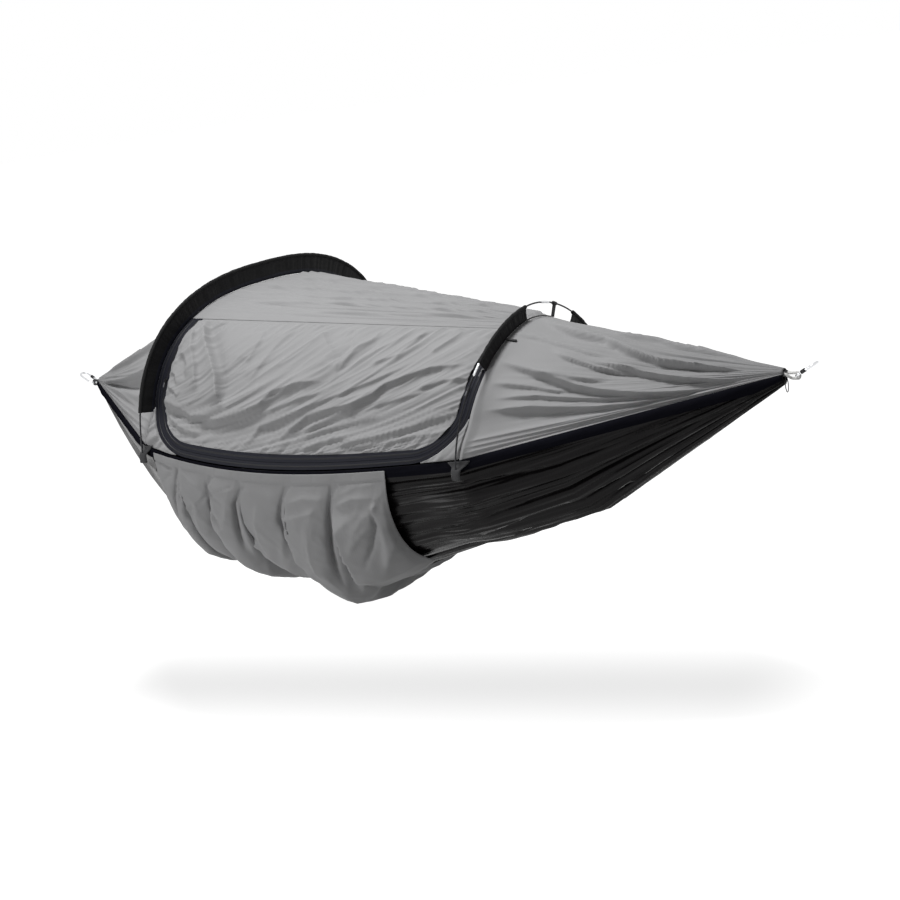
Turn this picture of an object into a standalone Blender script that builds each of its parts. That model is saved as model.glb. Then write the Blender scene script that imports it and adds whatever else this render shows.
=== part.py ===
"""A hammock tent, hung between two points: a gathered hammock under a fabric cabin on two bent poles.

Run with blender --background --python part.py. Metres, +Z up. +X runs from the head end to the foot end, and
-Y is the door side. The origin is where a strap holds the head end carabiner.
"""

import math

import bpy
import bmesh
from mathutils import Matrix, Vector

# Driving sizes of the hung tent
FABRIC_LENGTH = 2.80
HANG_TILT = math.radians(30.0)
HEAD_ARCH_FROM_END = 0.89
FOOT_ARCH_FROM_END = 0.869
HEAD_ARCH_HALF = 0.606
HEAD_ARCH_RISE = 0.489
HEAD_ARCH_DROP = 0.103
HEAD_ARCH_POWER = 2.55
HEAD_ARCH_LEAN = math.radians(6.0)
FOOT_ARCH_HALF = 0.411
FOOT_ARCH_RISE = 0.399
FOOT_ARCH_DROP = 0.186
FOOT_ARCH_POWER = 1.86
FOOT_ARCH_LEAN = math.radians(6.3)
HAMMOCK_DEPTH = 0.61

# Cloth and how it is set out
CLOTH = 0.0015
SEAM_GAP = 0.0004
HEM_ABOVE_POLE_FOOT = 0.040
HEM_INSIDE_POLE = 0.018
WALL_ABOVE_HEM = 0.0020
HEM_SAG = 0.050
HEM_BULGE = 0.030
HEM_SAG_SKEW = 0.80
HEM_SAG_FADE = 1.5
BAND_WIDTH = 0.030
BAND_STANDS_OFF = 2 * CLOTH
END_HALF = 0.013
END_DEPTH = 0.020
END_CROWN = 0.013
CLOTH_STOPS_SHORT = 0.045
# Each pair is the share of the fabric length from the head end, and the share of the hammock's depth
BOTTOM_SHARES = (
    (0.0, 0.0), (0.143, 0.541), (0.286, 0.869), (0.429, 1.0), (0.525, 0.967), (0.780, 0.615), (1.0, 0.0),
)
STRAIGHT_FROM_SHARE = 0.525
SECTION_POWER = 2.25
END_SECTION_POWER = 2.0
FOLD_DEPTH = 0.007
FOLDS_ACROSS = 6
FOLD_GROWS_OVER = 0.16
FOLD_FADES_OVER = 1.10
FOLD_CALM_SHARE = 0.14
COVER_FOLD = 0.008
COVER_FOLDS = 5

# Poles and their ferrules
POLE = 0.0050
FERRULE = 0.0074
FERRULE_LENGTH = 0.038
FERRULE_CLEARANCE = 0.0003
POLE_BUTT_GAP = 0.0010
HEAD_WEB = 0.062
FOOT_WEB = 0.042
WEB_FLARE = 0.120
WEB_STANDS_OFF = 0.0010
WEB_THICK = 0.0024
TUNNEL_LOOSE = 0.0007
TUNNEL_WALL = 0.0012
HEAD_SLEEVE_TURN = math.radians(12.0)
FOOT_SLEEVE_FROM = math.radians(47.8)
FOOT_SLEEVE_TO = math.radians(85.0)
FAR_SLEEVE_FROM = math.radians(123.0)
FAR_SLEEVE_TO = math.radians(150.0)
HEAD_JOINTS = (math.radians(52.0), math.radians(90.0), math.radians(128.0))
FOOT_JOINTS = (math.radians(44.8), math.radians(101.0), math.radians(156.0))
STRAP_TURN = math.radians(108.5)
STRAP_WIDTH = 0.016

# The door, its inner net and their zips
HEAD_SEAM_TURN = math.radians(59.0)
FOOT_SEAM_TURN = math.radians(75.0)
ZIP_TAPE = 0.0185
ZIP_RIDGE = 0.0040
ZIP_RIDGE_HEIGHT = 0.0012
ZIP_CORNER = 0.150
NET_BEHIND_DOOR = 0.0022
HINGE_GAP = 0.0012
DOOR_BILLOW = 0.012
DOOR_FOLDS = 3
DOOR_FOLD_SHARE = 0.25
GUSSET_TRIM = math.radians(12.0)

# The under pouch, from the head arch's hem corner along a share of the hem between the arches
POUCH_FROM_ARCH = 0.0358
POUCH_LENGTH_SHARE = 0.754
POUCH_SEAT = BAND_STANDS_OFF + CLOTH + 2 * SEAM_GAP
POUCH_BELOW_HEM = 0.008
POUCH_SLACK = 0.080
POUCH_DRAWN_BACK = 0.13
POUCH_EDGE_DRAWN_BACK = 0.06
POUCH_DRAWN_SHARES = (0.18, 0.78)
# How much further the middle of the foot edge is drawn back, from which share of the length and of the hang
POUCH_MIDDLE_DRAWN_BACK = 0.18
POUCH_MIDDLE_SHARES = (0.50, 0.88)
# Each tuck's share of the pouch's length from its head edge, how full the pouch stays at it near the top and at
# the bottom, and how full it is at most before the next tuck
TUCK_SHARES = (
    (0.0, 0.20, 0.30, 0.72), (0.12, 0.42, 0.75, 0.88), (0.25, 0.36, 0.80, 0.95), (0.40, 0.40, 0.30, 1.0),
    (0.60, 0.34, 0.30, 1.0), (0.80, 0.36, 0.80, 1.0), (1.0, 0.15, 0.03, 0.03),
)
BILLOW_POWER = 0.7
HANG_POWER = 1.2

# Hanging hardware
CARABINER_LENGTH = 0.076
CARABINER_WIDTH = 0.040
CARABINER_ROD = 0.0070
GATE_SLOT = 0.0032
GATE_TONGUE = 0.0026
GATE_PIN = 0.0020
GATE_PIN_BORE = 0.0026
GATE_GAP = 0.0005
LOCK_SLEEVE_OUTER = 0.0110
LOCK_SLEEVE_BORE = 0.0076
LOCK_SLEEVE_LENGTH = 0.0140
ROPE = 0.0080
ROPE_LENGTH = 0.085
ROPE_SPREAD = 0.015
ROPE_TIP_SPREAD = 0.017
# Where the two legs of a loop start to twist into one upright plane, and over how much of their length
TWIST_FROM_SHARE = 0.57
TWIST_SHARE = 0.21
TIE = 0.0030
DRAWCORD = 0.0024
DRAWCORD_LOOP = 0.042
DRAWCORD_LOOP_HALF = 0.0084
LINK_GAP = 0.0003

# Webbing pockets for the pole feet
POCKET_TOP_WIDTH = 0.060
POCKET_FOOT_WIDTH = 0.024
POCKET_WEB = 0.0025
POCKET_SOCKET_DEPTH = 0.016
POCKET_BORE_LOOSE = 0.0003
# Heights above a pole's foot at which the pole and its pocket are divided
POLE_HEIGHTS = (POCKET_SOCKET_DEPTH, POCKET_SOCKET_DEPTH + POCKET_WEB, HEM_ABOVE_POLE_FOOT - CLOTH)

# Zip sliders and pulls
SLIDER_LENGTH = 0.010
SLIDER_WIDTH = 0.008
SLIDER_HEIGHT = 0.0030
SLIDER_EAR = 0.0016
SLIDER_EAR_HEIGHT = 0.0036
PULL_AXLE = 0.0016
PULL_BORE = 0.0022
PULL_LENGTH = 0.024
PULL_WIDTH = 0.0050
PULL_THICK = 0.0014
PULL_SIDE_GAP = 0.0004
PULL_EYE = 0.0040
PULL_AXLE_RISE = SLIDER_HEIGHT / 2 + PULL_EYE / 2 + PULL_SIDE_GAP
DOOR_SLIDER_DOWN_SHARE = 0.8
NET_SLIDER_DOWN_SHARE = 0.6

# Small trim
CORD = 0.0028
TOGGLE_LENGTH = 0.034
TOGGLE_WIDTH = 0.007
TOGGLE_THICK = 0.004
TOGGLE_TURN = math.radians(66.0)

# How finely the shapes are divided
# Turns, from the near foot up to the middle, at which cloth and sleeve are divided along each arch
HEAD_TURNS = tuple(math.radians(turn) for turn in (4, 6, 8.5, 12, 17, 23, 30, 37, 45, 52, 59, 69, 80, 90))
FOOT_TURNS = tuple(math.radians(turn) for turn in (9.5, 13, 17, 22, 28, 35, 41, 47.8, 56, 65.5, 75, 80, 85, 90))
TABLE_STEPS = 240
ROUND_SIDES = 16
CORNER_STEPS = 9
TUNNEL_SIDES = 7
SMALL_SIDES = 12
ROD_SMOOTHNESS = 2
ROOF_STEPS = 6
ZIP_SIDE_STEPS = 5
GUSSET_STEPS = 8
BILLOW_STEPS = 4
LEG_STEPS = 9
LOOP_STEPS = 6
BOW_STEPS = 8
TIE_STEPS = 7
DRAWCORD_STEPS = 14
CORD_STEPS = 6
ROW_CROWDING = 1.3
HALVINGS = 40
TURN_STEP = 0.001
WALL_STEP = 0.01

NEAR, FAR = 1.0, -1.0

ROD_RADIUS = CARABINER_ROD / 2
BOW_LENGTH = CARABINER_LENGTH - CARABINER_ROD
HANG_REACH = BOW_LENGTH - 2 * ROD_RADIUS - ROPE - LINK_GAP
HEAD_END = Vector((HANG_REACH * math.cos(HANG_TILT), 0, -HANG_REACH * math.sin(HANG_TILT)))
FOOT_END = HEAD_END + Vector((FABRIC_LENGTH, 0, 0))
CHORD_Z = HEAD_END.z
CLOTH_HEAD_X = HEAD_END.x + CLOTH_STOPS_SHORT
CLOTH_FOOT_X = FOOT_END.x - CLOTH_STOPS_SHORT
UP = Vector((0, 0, 1))


def blend(low, high, share):
    return low + (high - low) * share


def ease(share):
    share = min(1.0, max(0.0, share))
    return share * share * (3 - 2 * share)


# Materials
def finish(name, colour, roughness, metallic=0.0):
    """A plain Principled material, made once for each name."""
    made = bpy.data.materials.get(name)
    if made:
        return made
    made = bpy.data.materials.new(name)
    made.use_nodes = True
    shader = made.node_tree.nodes["Principled BSDF"]
    shader.inputs["Base Color"].default_value = (*colour, 1.0)
    shader.inputs["Roughness"].default_value = roughness
    shader.inputs["Metallic"].default_value = metallic
    made.diffuse_color = (*colour, 1.0)
    return made


FINISHES = {
    "cover": ((0.30, 0.30, 0.30), 0.85, 0.0),
    "hammock": ((0.012, 0.010, 0.011), 0.80, 0.0),
    "band": ((0.014, 0.014, 0.018), 0.80, 0.0),
    "net": ((0.020, 0.020, 0.022), 0.90, 0.0),
    "zip": ((0.025, 0.027, 0.040), 0.60, 0.0),
    "sleeve": ((0.006, 0.006, 0.006), 0.85, 0.0),
    "pole": ((0.020, 0.020, 0.022), 0.35, 0.0),
    "ferrule": ((0.75, 0.75, 0.76), 0.30, 1.0),
    "webbing": ((0.020, 0.020, 0.022), 0.80, 0.0),
    "rope": ((0.70, 0.70, 0.70), 0.70, 0.0),
    "cord": ((0.008, 0.008, 0.008), 0.80, 0.0),
    "alloy": ((0.80, 0.80, 0.82), 0.30, 1.0),
    "lock": ((0.010, 0.010, 0.010), 0.50, 0.3),
    "slider": ((0.020, 0.020, 0.022), 0.40, 0.6),
    "pull": ((0.10, 0.10, 0.11), 0.60, 0.0),
}

parts = bpy.data.collections.new("hammock_tent")
cutters = bpy.data.collections.new("cutters")


def place(obj, look):
    """Puts an object in the tent's collection with its own copy of a finish."""
    for old in list(obj.users_collection):
        old.objects.unlink(obj)
    parts.objects.link(obj)
    obj.data.materials.clear()
    obj.data.materials.append(finish(f"{obj.name}_{look}", *FINISHES[look]))
    return obj


# Making sheets, sweeps, rods and blocks
def sheet(name, rows, look, thickness=CLOTH, closed=False):
    """A cloth panel: a grid of points, given thickness both ways from it."""
    mesh = bpy.data.meshes.new(name)
    shape = bmesh.new()
    grid = [[shape.verts.new(point) for point in row] for row in rows]
    across = len(rows[0])
    for low, high in zip(grid, grid[1:]):
        for i in range(across if closed else across - 1):
            j = (i + 1) % across
            shape.faces.new((low[i], low[j], high[j], high[i]))
    bmesh.ops.recalc_face_normals(shape, faces=shape.faces)
    shape.to_mesh(mesh)
    shape.free()
    obj = bpy.data.objects.new(name, mesh)
    solid = obj.modifiers.new("cloth", "SOLIDIFY")
    solid.thickness = thickness
    solid.offset = 0.0
    solid.use_even_offset = False
    return place(obj, look)


def sweep(name, sections, look):
    """A closed section carried along a path: each section is a ring of points, all with as many."""
    mesh = bpy.data.meshes.new(name)
    shape = bmesh.new()
    rings = [[shape.verts.new(point) for point in section] for section in sections]
    count = len(rings[0])
    for low, high in zip(rings, rings[1:]):
        for i in range(count):
            j = (i + 1) % count
            shape.faces.new((low[i], low[j], high[j], high[i]))
    shape.faces.new(tuple(reversed(rings[0])))
    shape.faces.new(tuple(rings[-1]))
    bmesh.ops.recalc_face_normals(shape, faces=shape.faces)
    shape.to_mesh(mesh)
    shape.free()
    return place(bpy.data.objects.new(name, mesh), look)


def tunnel(name, outers, inners, look):
    """A sleeve with a tail: outer rings of points start and end at the tail, inner rings follow the round part."""
    mesh = bpy.data.meshes.new(name)
    shape = bmesh.new()
    outer = [[shape.verts.new(point) for point in ring] for ring in outers]
    inner = [[shape.verts.new(point) for point in ring] for ring in inners]
    for rings in (outer, inner):
        count = len(rings[0])
        for low, high in zip(rings, rings[1:]):
            for i in range(count):
                j = (i + 1) % count
                shape.faces.new((low[i], low[j], high[j], high[i]))
    for out, bore in ((outer[0], inner[0]), (outer[-1], inner[-1])):
        for i in range(len(bore) - 1):
            shape.faces.new((out[i + 1], out[i + 2], bore[i + 1], bore[i]))
        shape.faces.new((out[-1], out[0], out[1], bore[0], bore[-1], out[-2]))
    bmesh.ops.recalc_face_normals(shape, faces=shape.faces)
    shape.to_mesh(mesh)
    shape.free()
    return place(bpy.data.objects.new(name, mesh), look)


def rod(name, points, width, look, closed=False):
    """A round bar along a list of points, as a curve with filled ends."""
    data = bpy.data.curves.new(name, "CURVE")
    data.dimensions = "3D"
    data.bevel_depth = width / 2
    data.bevel_resolution = ROD_SMOOTHNESS
    data.use_fill_caps = not closed
    line = data.splines.new("POLY")
    line.points.add(len(points) - 1)
    for spot, point in zip(line.points, points):
        spot.co = (*point, 1.0)
    line.use_cyclic_u = closed
    return place(bpy.data.objects.new(name, data), look)


def as_mesh(obj, look):
    """The curve object made a mesh under the same name, with its caps welded."""
    name = obj.name
    mesh = bpy.data.meshes.new_from_object(obj.evaluated_get(bpy.context.evaluated_depsgraph_get()))
    shape = bmesh.new()
    shape.from_mesh(mesh)
    bmesh.ops.remove_doubles(shape, verts=shape.verts, dist=SEAM_GAP / 10)
    bmesh.ops.recalc_face_normals(shape, faces=shape.faces)
    shape.to_mesh(mesh)
    shape.free()
    matrix = obj.matrix_world.copy()
    bpy.data.objects.remove(obj)
    made = bpy.data.objects.new(name, mesh)
    made.matrix_world = matrix
    return place(made, look)


def block(name, size, frame, look):
    """A box of the given size, centred on a frame."""
    mesh = bpy.data.meshes.new(name)
    shape = bmesh.new()
    bmesh.ops.create_cube(shape, size=1.0, matrix=Matrix.Diagonal((*size, 1.0)))
    shape.to_mesh(mesh)
    shape.free()
    obj = bpy.data.objects.new(name, mesh)
    obj.matrix_world = frame
    return place(obj, look)


def drum(name, radius, length, frame, look, sides=ROUND_SIDES):
    """A cylinder along a frame's Z, centred on it."""
    mesh = bpy.data.meshes.new(name)
    shape = bmesh.new()
    bmesh.ops.create_cone(
        shape, cap_ends=True, segments=sides, radius1=radius, radius2=radius, depth=length,
    )
    shape.to_mesh(mesh)
    shape.free()
    obj = bpy.data.objects.new(name, mesh)
    obj.matrix_world = frame
    return place(obj, look)


def combine(obj, other, operation):
    """Joins or cuts obj with other, which becomes a hidden tool."""
    for old in list(other.users_collection):
        old.objects.unlink(other)
    cutters.objects.link(other)
    other.hide_render = True
    other.display_type = "WIRE"
    cut = obj.modifiers.new(other.name, "BOOLEAN")
    cut.operation = operation
    cut.solver = "EXACT"
    cut.object = other
    return obj


def frame_of(origin, along, normal):
    """A frame at origin with X along, Z near normal and Y across."""
    x = along.normalized()
    y = normal.cross(x).normalized()
    z = x.cross(y)
    turn = Matrix((x, y, z)).transposed().to_4x4()
    return Matrix.Translation(origin) @ turn


# The two arches
class Arch:
    """A bent pole in a leaning plane, and the cloth line that runs inside it."""

    def __init__(self, x, half, rise, drop, power, lean, web, turns, joints):
        self.x, self.half, self.rise, self.power = x, half, rise, power
        self.foot_z = CHORD_Z - drop
        self.slope = math.tan(lean)
        self.web = web
        self.normal = Vector((math.cos(lean), 0, -math.sin(lean)))
        self.joints = joints
        near = [self.hem_turn(), *turns]
        self.turns = near + [math.pi - turn for turn in near[-2::-1]]

    def point(self, turn, inset=0.0):
        """The pole's line at a turn from the near foot (0) to the far foot (pi), moved inwards by inset."""
        c, s = math.cos(turn), math.sin(turn)
        sign = math.copysign(1.0, c)
        across = -self.half * sign * abs(c) ** (2 / self.power)
        height = self.rise * abs(s) ** (2 / self.power)
        lean_out = 2 * (self.power - 1) / self.power
        inward = Vector((sign * abs(c) ** lean_out / self.half, -abs(s) ** lean_out / self.rise))
        inward.normalize()
        across += inset * inward.x
        height += inset * inward.y
        return Vector((self.x + height * self.slope, across, self.foot_z + height))

    def inward(self, turn):
        """The unit direction in the arch's plane from the pole to the cloth."""
        return (self.point(turn, self.web) - self.point(turn)).normalized()

    def turn_at_height(self, height):
        """The near turn at which the pole is this high above its foot."""
        return math.asin((height / self.rise) ** (self.power / 2))

    def inset(self, turn):
        """How far the cloth line runs inside the pole: little at the feet, the web's width above."""
        height = self.rise * abs(math.sin(turn)) ** (2 / self.power)
        return blend(HEM_INSIDE_POLE, self.web, ease((height - HEM_ABOVE_POLE_FOOT) / WEB_FLARE))

    def cloth(self, turn):
        return self.point(turn, self.inset(turn))

    def hem_turn(self):
        """The turn at which the cloth line starts, at the hem's height."""
        low, high = 0.0, math.pi / 2
        for _ in range(HALVINGS):
            middle = (low + high) / 2
            if self.cloth(middle).z - self.foot_z < HEM_ABOVE_POLE_FOOT:
                low = middle
            else:
                high = middle
        return (low + high) / 2

    def table(self, turn_from, turn_to):
        """Turns and lengths along the cloth line between two turns."""
        turns = [blend(turn_from, turn_to, i / TABLE_STEPS) for i in range(TABLE_STEPS + 1)]
        points = [self.cloth(turn) for turn in turns]
        lengths = [0.0]
        for one, two in zip(points, points[1:]):
            lengths.append(lengths[-1] + (two - one).length)
        return turns, lengths


def turn_at(table, share):
    """The turn at a share of a table's length."""
    turns, lengths = table
    target = min(1.0, max(0.0, share)) * lengths[-1]
    low, high = 0, len(lengths) - 1
    while high - low > 1:
        middle = (low + high) // 2
        if lengths[middle] <= target:
            low = middle
        else:
            high = middle
    step = lengths[high] - lengths[low]
    return blend(turns[low], turns[high], (target - lengths[low]) / step)


def turn_per_metre(arch, turn):
    return 2 * TURN_STEP / (arch.point(turn + TURN_STEP) - arch.point(turn - TURN_STEP)).length


HEAD_ARCH = Arch(
    HEAD_END.x + HEAD_ARCH_FROM_END, HEAD_ARCH_HALF, HEAD_ARCH_RISE, HEAD_ARCH_DROP,
    HEAD_ARCH_POWER, HEAD_ARCH_LEAN, HEAD_WEB, HEAD_TURNS, HEAD_JOINTS,
)
FOOT_ARCH = Arch(
    FOOT_END.x - FOOT_ARCH_FROM_END, FOOT_ARCH_HALF, FOOT_ARCH_RISE, FOOT_ARCH_DROP,
    FOOT_ARCH_POWER, FOOT_ARCH_LEAN, FOOT_WEB, FOOT_TURNS, FOOT_JOINTS,
)
HEAD_WALL = HEAD_ARCH.table(HEAD_ARCH.hem_turn(), HEAD_SEAM_TURN)
HEAD_ROOF = HEAD_ARCH.table(HEAD_SEAM_TURN, math.pi - HEAD_SEAM_TURN)
FOOT_WALL = FOOT_ARCH.table(FOOT_ARCH.hem_turn(), FOOT_SEAM_TURN)
FOOT_ROOF = FOOT_ARCH.table(FOOT_SEAM_TURN, math.pi - FOOT_SEAM_TURN)


def wall_turns(share):
    """The turns on both arches at a share of the wall from hem to seam."""
    return turn_at(HEAD_WALL, share), turn_at(FOOT_WALL, share)


HEM_HEAD = HEAD_ARCH.cloth(HEAD_ARCH.hem_turn())
HEM_FOOT = FOOT_ARCH.cloth(FOOT_ARCH.hem_turn())
WALL_LENGTH = (HEM_FOOT - HEM_HEAD).length
SEAM_HEAD = HEAD_ARCH.cloth(HEAD_SEAM_TURN)
SEAM_FOOT = FOOT_ARCH.cloth(FOOT_SEAM_TURN)
SEAM_LINE = (SEAM_FOOT - SEAM_HEAD).normalized()


def droop(share):
    """How the hem between the arches hangs, from 0 at each arch to 1."""
    share = min(1.0, max(0.0, share))
    return math.sin(math.pi * share ** HEM_SAG_SKEW)


def wall_point(along, up, side=NEAR, out=0.0):
    """A point of the side wall: along from head arch (0) to foot arch (1), up from hem (0) to seam (1)."""
    head_turn, foot_turn = wall_turns(up)
    point = blend(HEAD_ARCH.cloth(head_turn), FOOT_ARCH.cloth(foot_turn), along)
    slack = droop(along) * (1 - min(1.0, up)) ** HEM_SAG_FADE
    point += Vector((0, -HEM_BULGE, -HEM_SAG)) * slack
    if out:
        point += wall_normal(along, up) * out
    return Vector((point.x, side * point.y, point.z))


def wall_normal(along, up):
    """The outward normal of the near wall."""
    a, b = min(1.0, along + WALL_STEP), max(0.0, along - WALL_STEP)
    c, d = min(1.0, up + WALL_STEP), max(0.0, up - WALL_STEP)
    lengthways = wall_point(a, up) - wall_point(b, up)
    upwards = wall_point(along, c) - wall_point(along, d)
    return lengthways.cross(upwards).normalized()


HEAD_WALL_HEIGHT = HEAD_WALL[1][-1]
FOOT_WALL_HEIGHT = FOOT_WALL[1][-1]


def laid_out(x, height):
    """Shares of the wall for a place in metres: x from the head arch, height above the hem."""
    along = x / WALL_LENGTH
    return along, height / blend(HEAD_WALL_HEIGHT, FOOT_WALL_HEIGHT, along)


def on_wall(x, height, out=0.0):
    along, up = laid_out(x, height)
    return wall_point(along, up, NEAR, out)


# The hammock under the hem
def hem(x, side=NEAR):
    """The hem's point at a row x, on one side."""
    if x <= HEM_HEAD.x:
        share = (x - CLOTH_HEAD_X) / (HEM_HEAD.x - CLOTH_HEAD_X)
        low, high = Vector((CLOTH_HEAD_X, -END_HALF, CHORD_Z)), HEM_HEAD
    elif x >= HEM_FOOT.x:
        share = (x - HEM_FOOT.x) / (CLOTH_FOOT_X - HEM_FOOT.x)
        low, high = HEM_FOOT, Vector((CLOTH_FOOT_X, -END_HALF, CHORD_Z))
    else:
        share = (x - HEM_HEAD.x) / (HEM_FOOT.x - HEM_HEAD.x)
        low, high = HEM_HEAD, HEM_FOOT
    point = blend(low, high, share)
    if HEM_HEAD.x < x < HEM_FOOT.x:
        point += Vector((0, -HEM_BULGE, -HEM_SAG)) * droop(share)
    return Vector((point.x, side * point.y, point.z))


def bottom_z(x):
    """The height of the hammock's lowest line at a row x."""
    share = (x - HEAD_END.x) / FABRIC_LENGTH
    spots = BOTTOM_SHARES
    for i in range(len(spots) - 1):
        if share <= spots[i + 1][0]:
            break
    (a, low), (b, high) = spots[i], spots[i + 1]
    t = (share - a) / (b - a)
    slope = (high - low) / (b - a)
    if a >= STRAIGHT_FROM_SHARE:
        depth = blend(low, high, t)
    else:
        before = (high - spots[i - 1][1]) / (b - spots[i - 1][0]) if i else slope
        after = (spots[i + 2][1] - low) / (spots[i + 2][0] - a)
        run = b - a
        depth = (
            (2 * t**3 - 3 * t**2 + 1) * low + (t**3 - 2 * t**2 + t) * run * before
            + (3 * t**2 - 2 * t**3) * high + (t**3 - t**2) * run * after
        )
    return CHORD_Z - depth * HAMMOCK_DEPTH


def end_distance(x):
    return min(x - CLOTH_HEAD_X, CLOTH_FOOT_X - x)


def shell(x, turn, out=0.0, folds=True):
    """A point of the hammock: turn 0 at the near hem, pi at the far hem, moved outwards by out."""
    edge = hem(x)
    half = -edge.y
    deep = max(END_DEPTH, edge.z - bottom_z(x))
    power = blend(END_SECTION_POWER, SECTION_POWER, ease(end_distance(x) / FOLD_FADES_OVER))
    c, s = math.cos(turn), math.sin(turn)
    sign = math.copysign(1.0, c)
    across = -half * sign * abs(c) ** (2 / power)
    down = deep * abs(s) ** (2 / power)
    lean_out = 2 * (power - 1) / power
    normal = Vector((0, -sign * abs(c) ** lean_out / half, -abs(s) ** lean_out / deep)).normalized()
    if folds:
        away = end_distance(x)
        grown = (1 - math.exp(-away / FOLD_GROWS_OVER)) * math.exp(-away / FOLD_FADES_OVER)
        calm = ease((down - 2 * BAND_WIDTH) / (2 * BAND_WIDTH))
        out += FOLD_DEPTH * grown * calm * math.cos(2 * FOLDS_ACROSS * turn)
    return Vector((x, across, edge.z - down)) + normal * out


def spread(low, high, count):
    return [blend(low, high, i / count) for i in range(count + 1)]


END_ROWS = 8
MIDDLE_ROWS = 10
HAMMOCK_COLUMNS = 22


def hammock_rows():
    """Rows along the hammock: through both arches' hem points and the floor's bend, closer towards the ends."""
    kink = HEAD_END.x + BOTTOM_SHARES[-2][0] * FABRIC_LENGTH
    head = [blend(CLOTH_HEAD_X, HEM_HEAD.x, (i / END_ROWS) ** ROW_CROWDING) for i in range(END_ROWS)]
    middle = spread(HEM_HEAD.x, HEM_FOOT.x, MIDDLE_ROWS)
    foot = [blend(CLOTH_FOOT_X, HEM_FOOT.x, (i / END_ROWS) ** ROW_CROWDING) for i in range(END_ROWS)][::-1]
    nearest = min(range(END_ROWS), key=lambda i: abs(foot[i] - kink))
    foot[nearest] = kink
    return head + middle + foot


def make_hammock():
    grid = []
    for x in hammock_rows():
        row = [shell(x, turn) for turn in spread(0, math.pi, HAMMOCK_COLUMNS)]
        for point in (row[0], row[-1]):
            point.z -= SEAM_GAP
        grid.append(row)
    sheet("hammock_body", grid, "hammock")


def make_hem_bands():
    for name, side in (("near_hem_band", NEAR), ("far_hem_band", FAR)):
        rows = []
        for x in hammock_rows():
            deep = max(END_DEPTH, hem(x).z - bottom_z(x))
            row = []
            for share in (0.0, 0.5, 1.0):
                reach = min(BAND_WIDTH, deep / 2) * share
                turn = math.asin(min(1.0, (reach / deep) ** (SECTION_POWER / 2)))
                point = shell(x, turn, BAND_STANDS_OFF, False)
                row.append(Vector((point.x, side * point.y, point.z - SEAM_GAP)))
            rows.append(row)
        sheet(name, rows, "band")


# The covers beyond the arches
def end_ring(turn, x):
    """The small closing line of a cover at its gathered end."""
    return Vector((x, -END_HALF * math.cos(turn), CHORD_Z + END_CROWN * math.sin(turn)))


COVER_ROWS = 8


def make_end_cover(name, arch, end_x, inwards):
    """A cover drawn from an arch's cloth line to the gathered end, with long folds between them."""
    turns, lengths = arch.table(arch.turns[0], arch.turns[-1])
    grid = []
    for i in range(COVER_ROWS + 1):
        share = i / COVER_ROWS
        row = []
        for turn in arch.turns:
            nearest = min(range(len(turns)), key=lambda k: abs(turns[k] - turn))
            across = lengths[nearest] / lengths[-1]
            start = arch.cloth(turn) + arch.normal * (inwards * SEAM_GAP)
            point = blend(start, end_ring(math.pi * across, end_x), share)
            calm = ease(min(across, 1 - across) / FOLD_CALM_SHARE)
            ripple = math.cos(2 * math.pi * COVER_FOLDS * across) - 1
            depth = COVER_FOLD * math.sin(math.pi * share) * calm * ripple
            point += -arch.inward(turn) * depth
            point.z += SEAM_GAP
            row.append(point)
        grid.append(row)
    sheet(name, grid, "cover")


# The roof and the far wall between the arches
def make_roof():
    head_turns = [turn for turn in HEAD_ARCH.turns if HEAD_SEAM_TURN < turn < math.pi - HEAD_SEAM_TURN]
    foot_turns = [turn for turn in FOOT_ARCH.turns if FOOT_SEAM_TURN < turn < math.pi - FOOT_SEAM_TURN]
    head_edge = HEAD_SEAM_TURN + turn_per_metre(HEAD_ARCH, HEAD_SEAM_TURN) * HINGE_GAP
    foot_edge = FOOT_SEAM_TURN + turn_per_metre(FOOT_ARCH, FOOT_SEAM_TURN) * HINGE_GAP
    head_turns = [head_edge, *head_turns[1:-1], math.pi - head_edge]
    foot_turns = [foot_edge, *foot_turns[1:-1], math.pi - foot_edge]
    rows = []
    for head_turn, foot_turn in zip(head_turns, foot_turns):
        head = HEAD_ARCH.cloth(head_turn) + HEAD_ARCH.normal * SEAM_GAP
        foot = FOOT_ARCH.cloth(foot_turn) - FOOT_ARCH.normal * SEAM_GAP
        rows.append([blend(head, foot, along) for along in spread(0, 1, ROOF_STEPS)])
    sheet("roof_panel", rows, "cover")


def make_far_wall():
    margin = 2 * SEAM_GAP / WALL_LENGTH
    rows = []
    turns, lengths = HEAD_WALL
    stations = [turn for turn in HEAD_ARCH.turns if turns[0] < turn < turns[-1]]
    ups = [next(length for t, length in zip(turns, lengths) if t >= turn) / lengths[-1] for turn in stations]
    for up in (WALL_ABOVE_HEM / FOOT_WALL_HEIGHT, *ups[1:], 1 - SEAM_GAP / FOOT_WALL_HEIGHT):
        rows.append([wall_point(along, up, FAR) for along in spread(margin, 1 - margin, MIDDLE_ROWS)])
    sheet("far_wall", rows, "cover")


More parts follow.
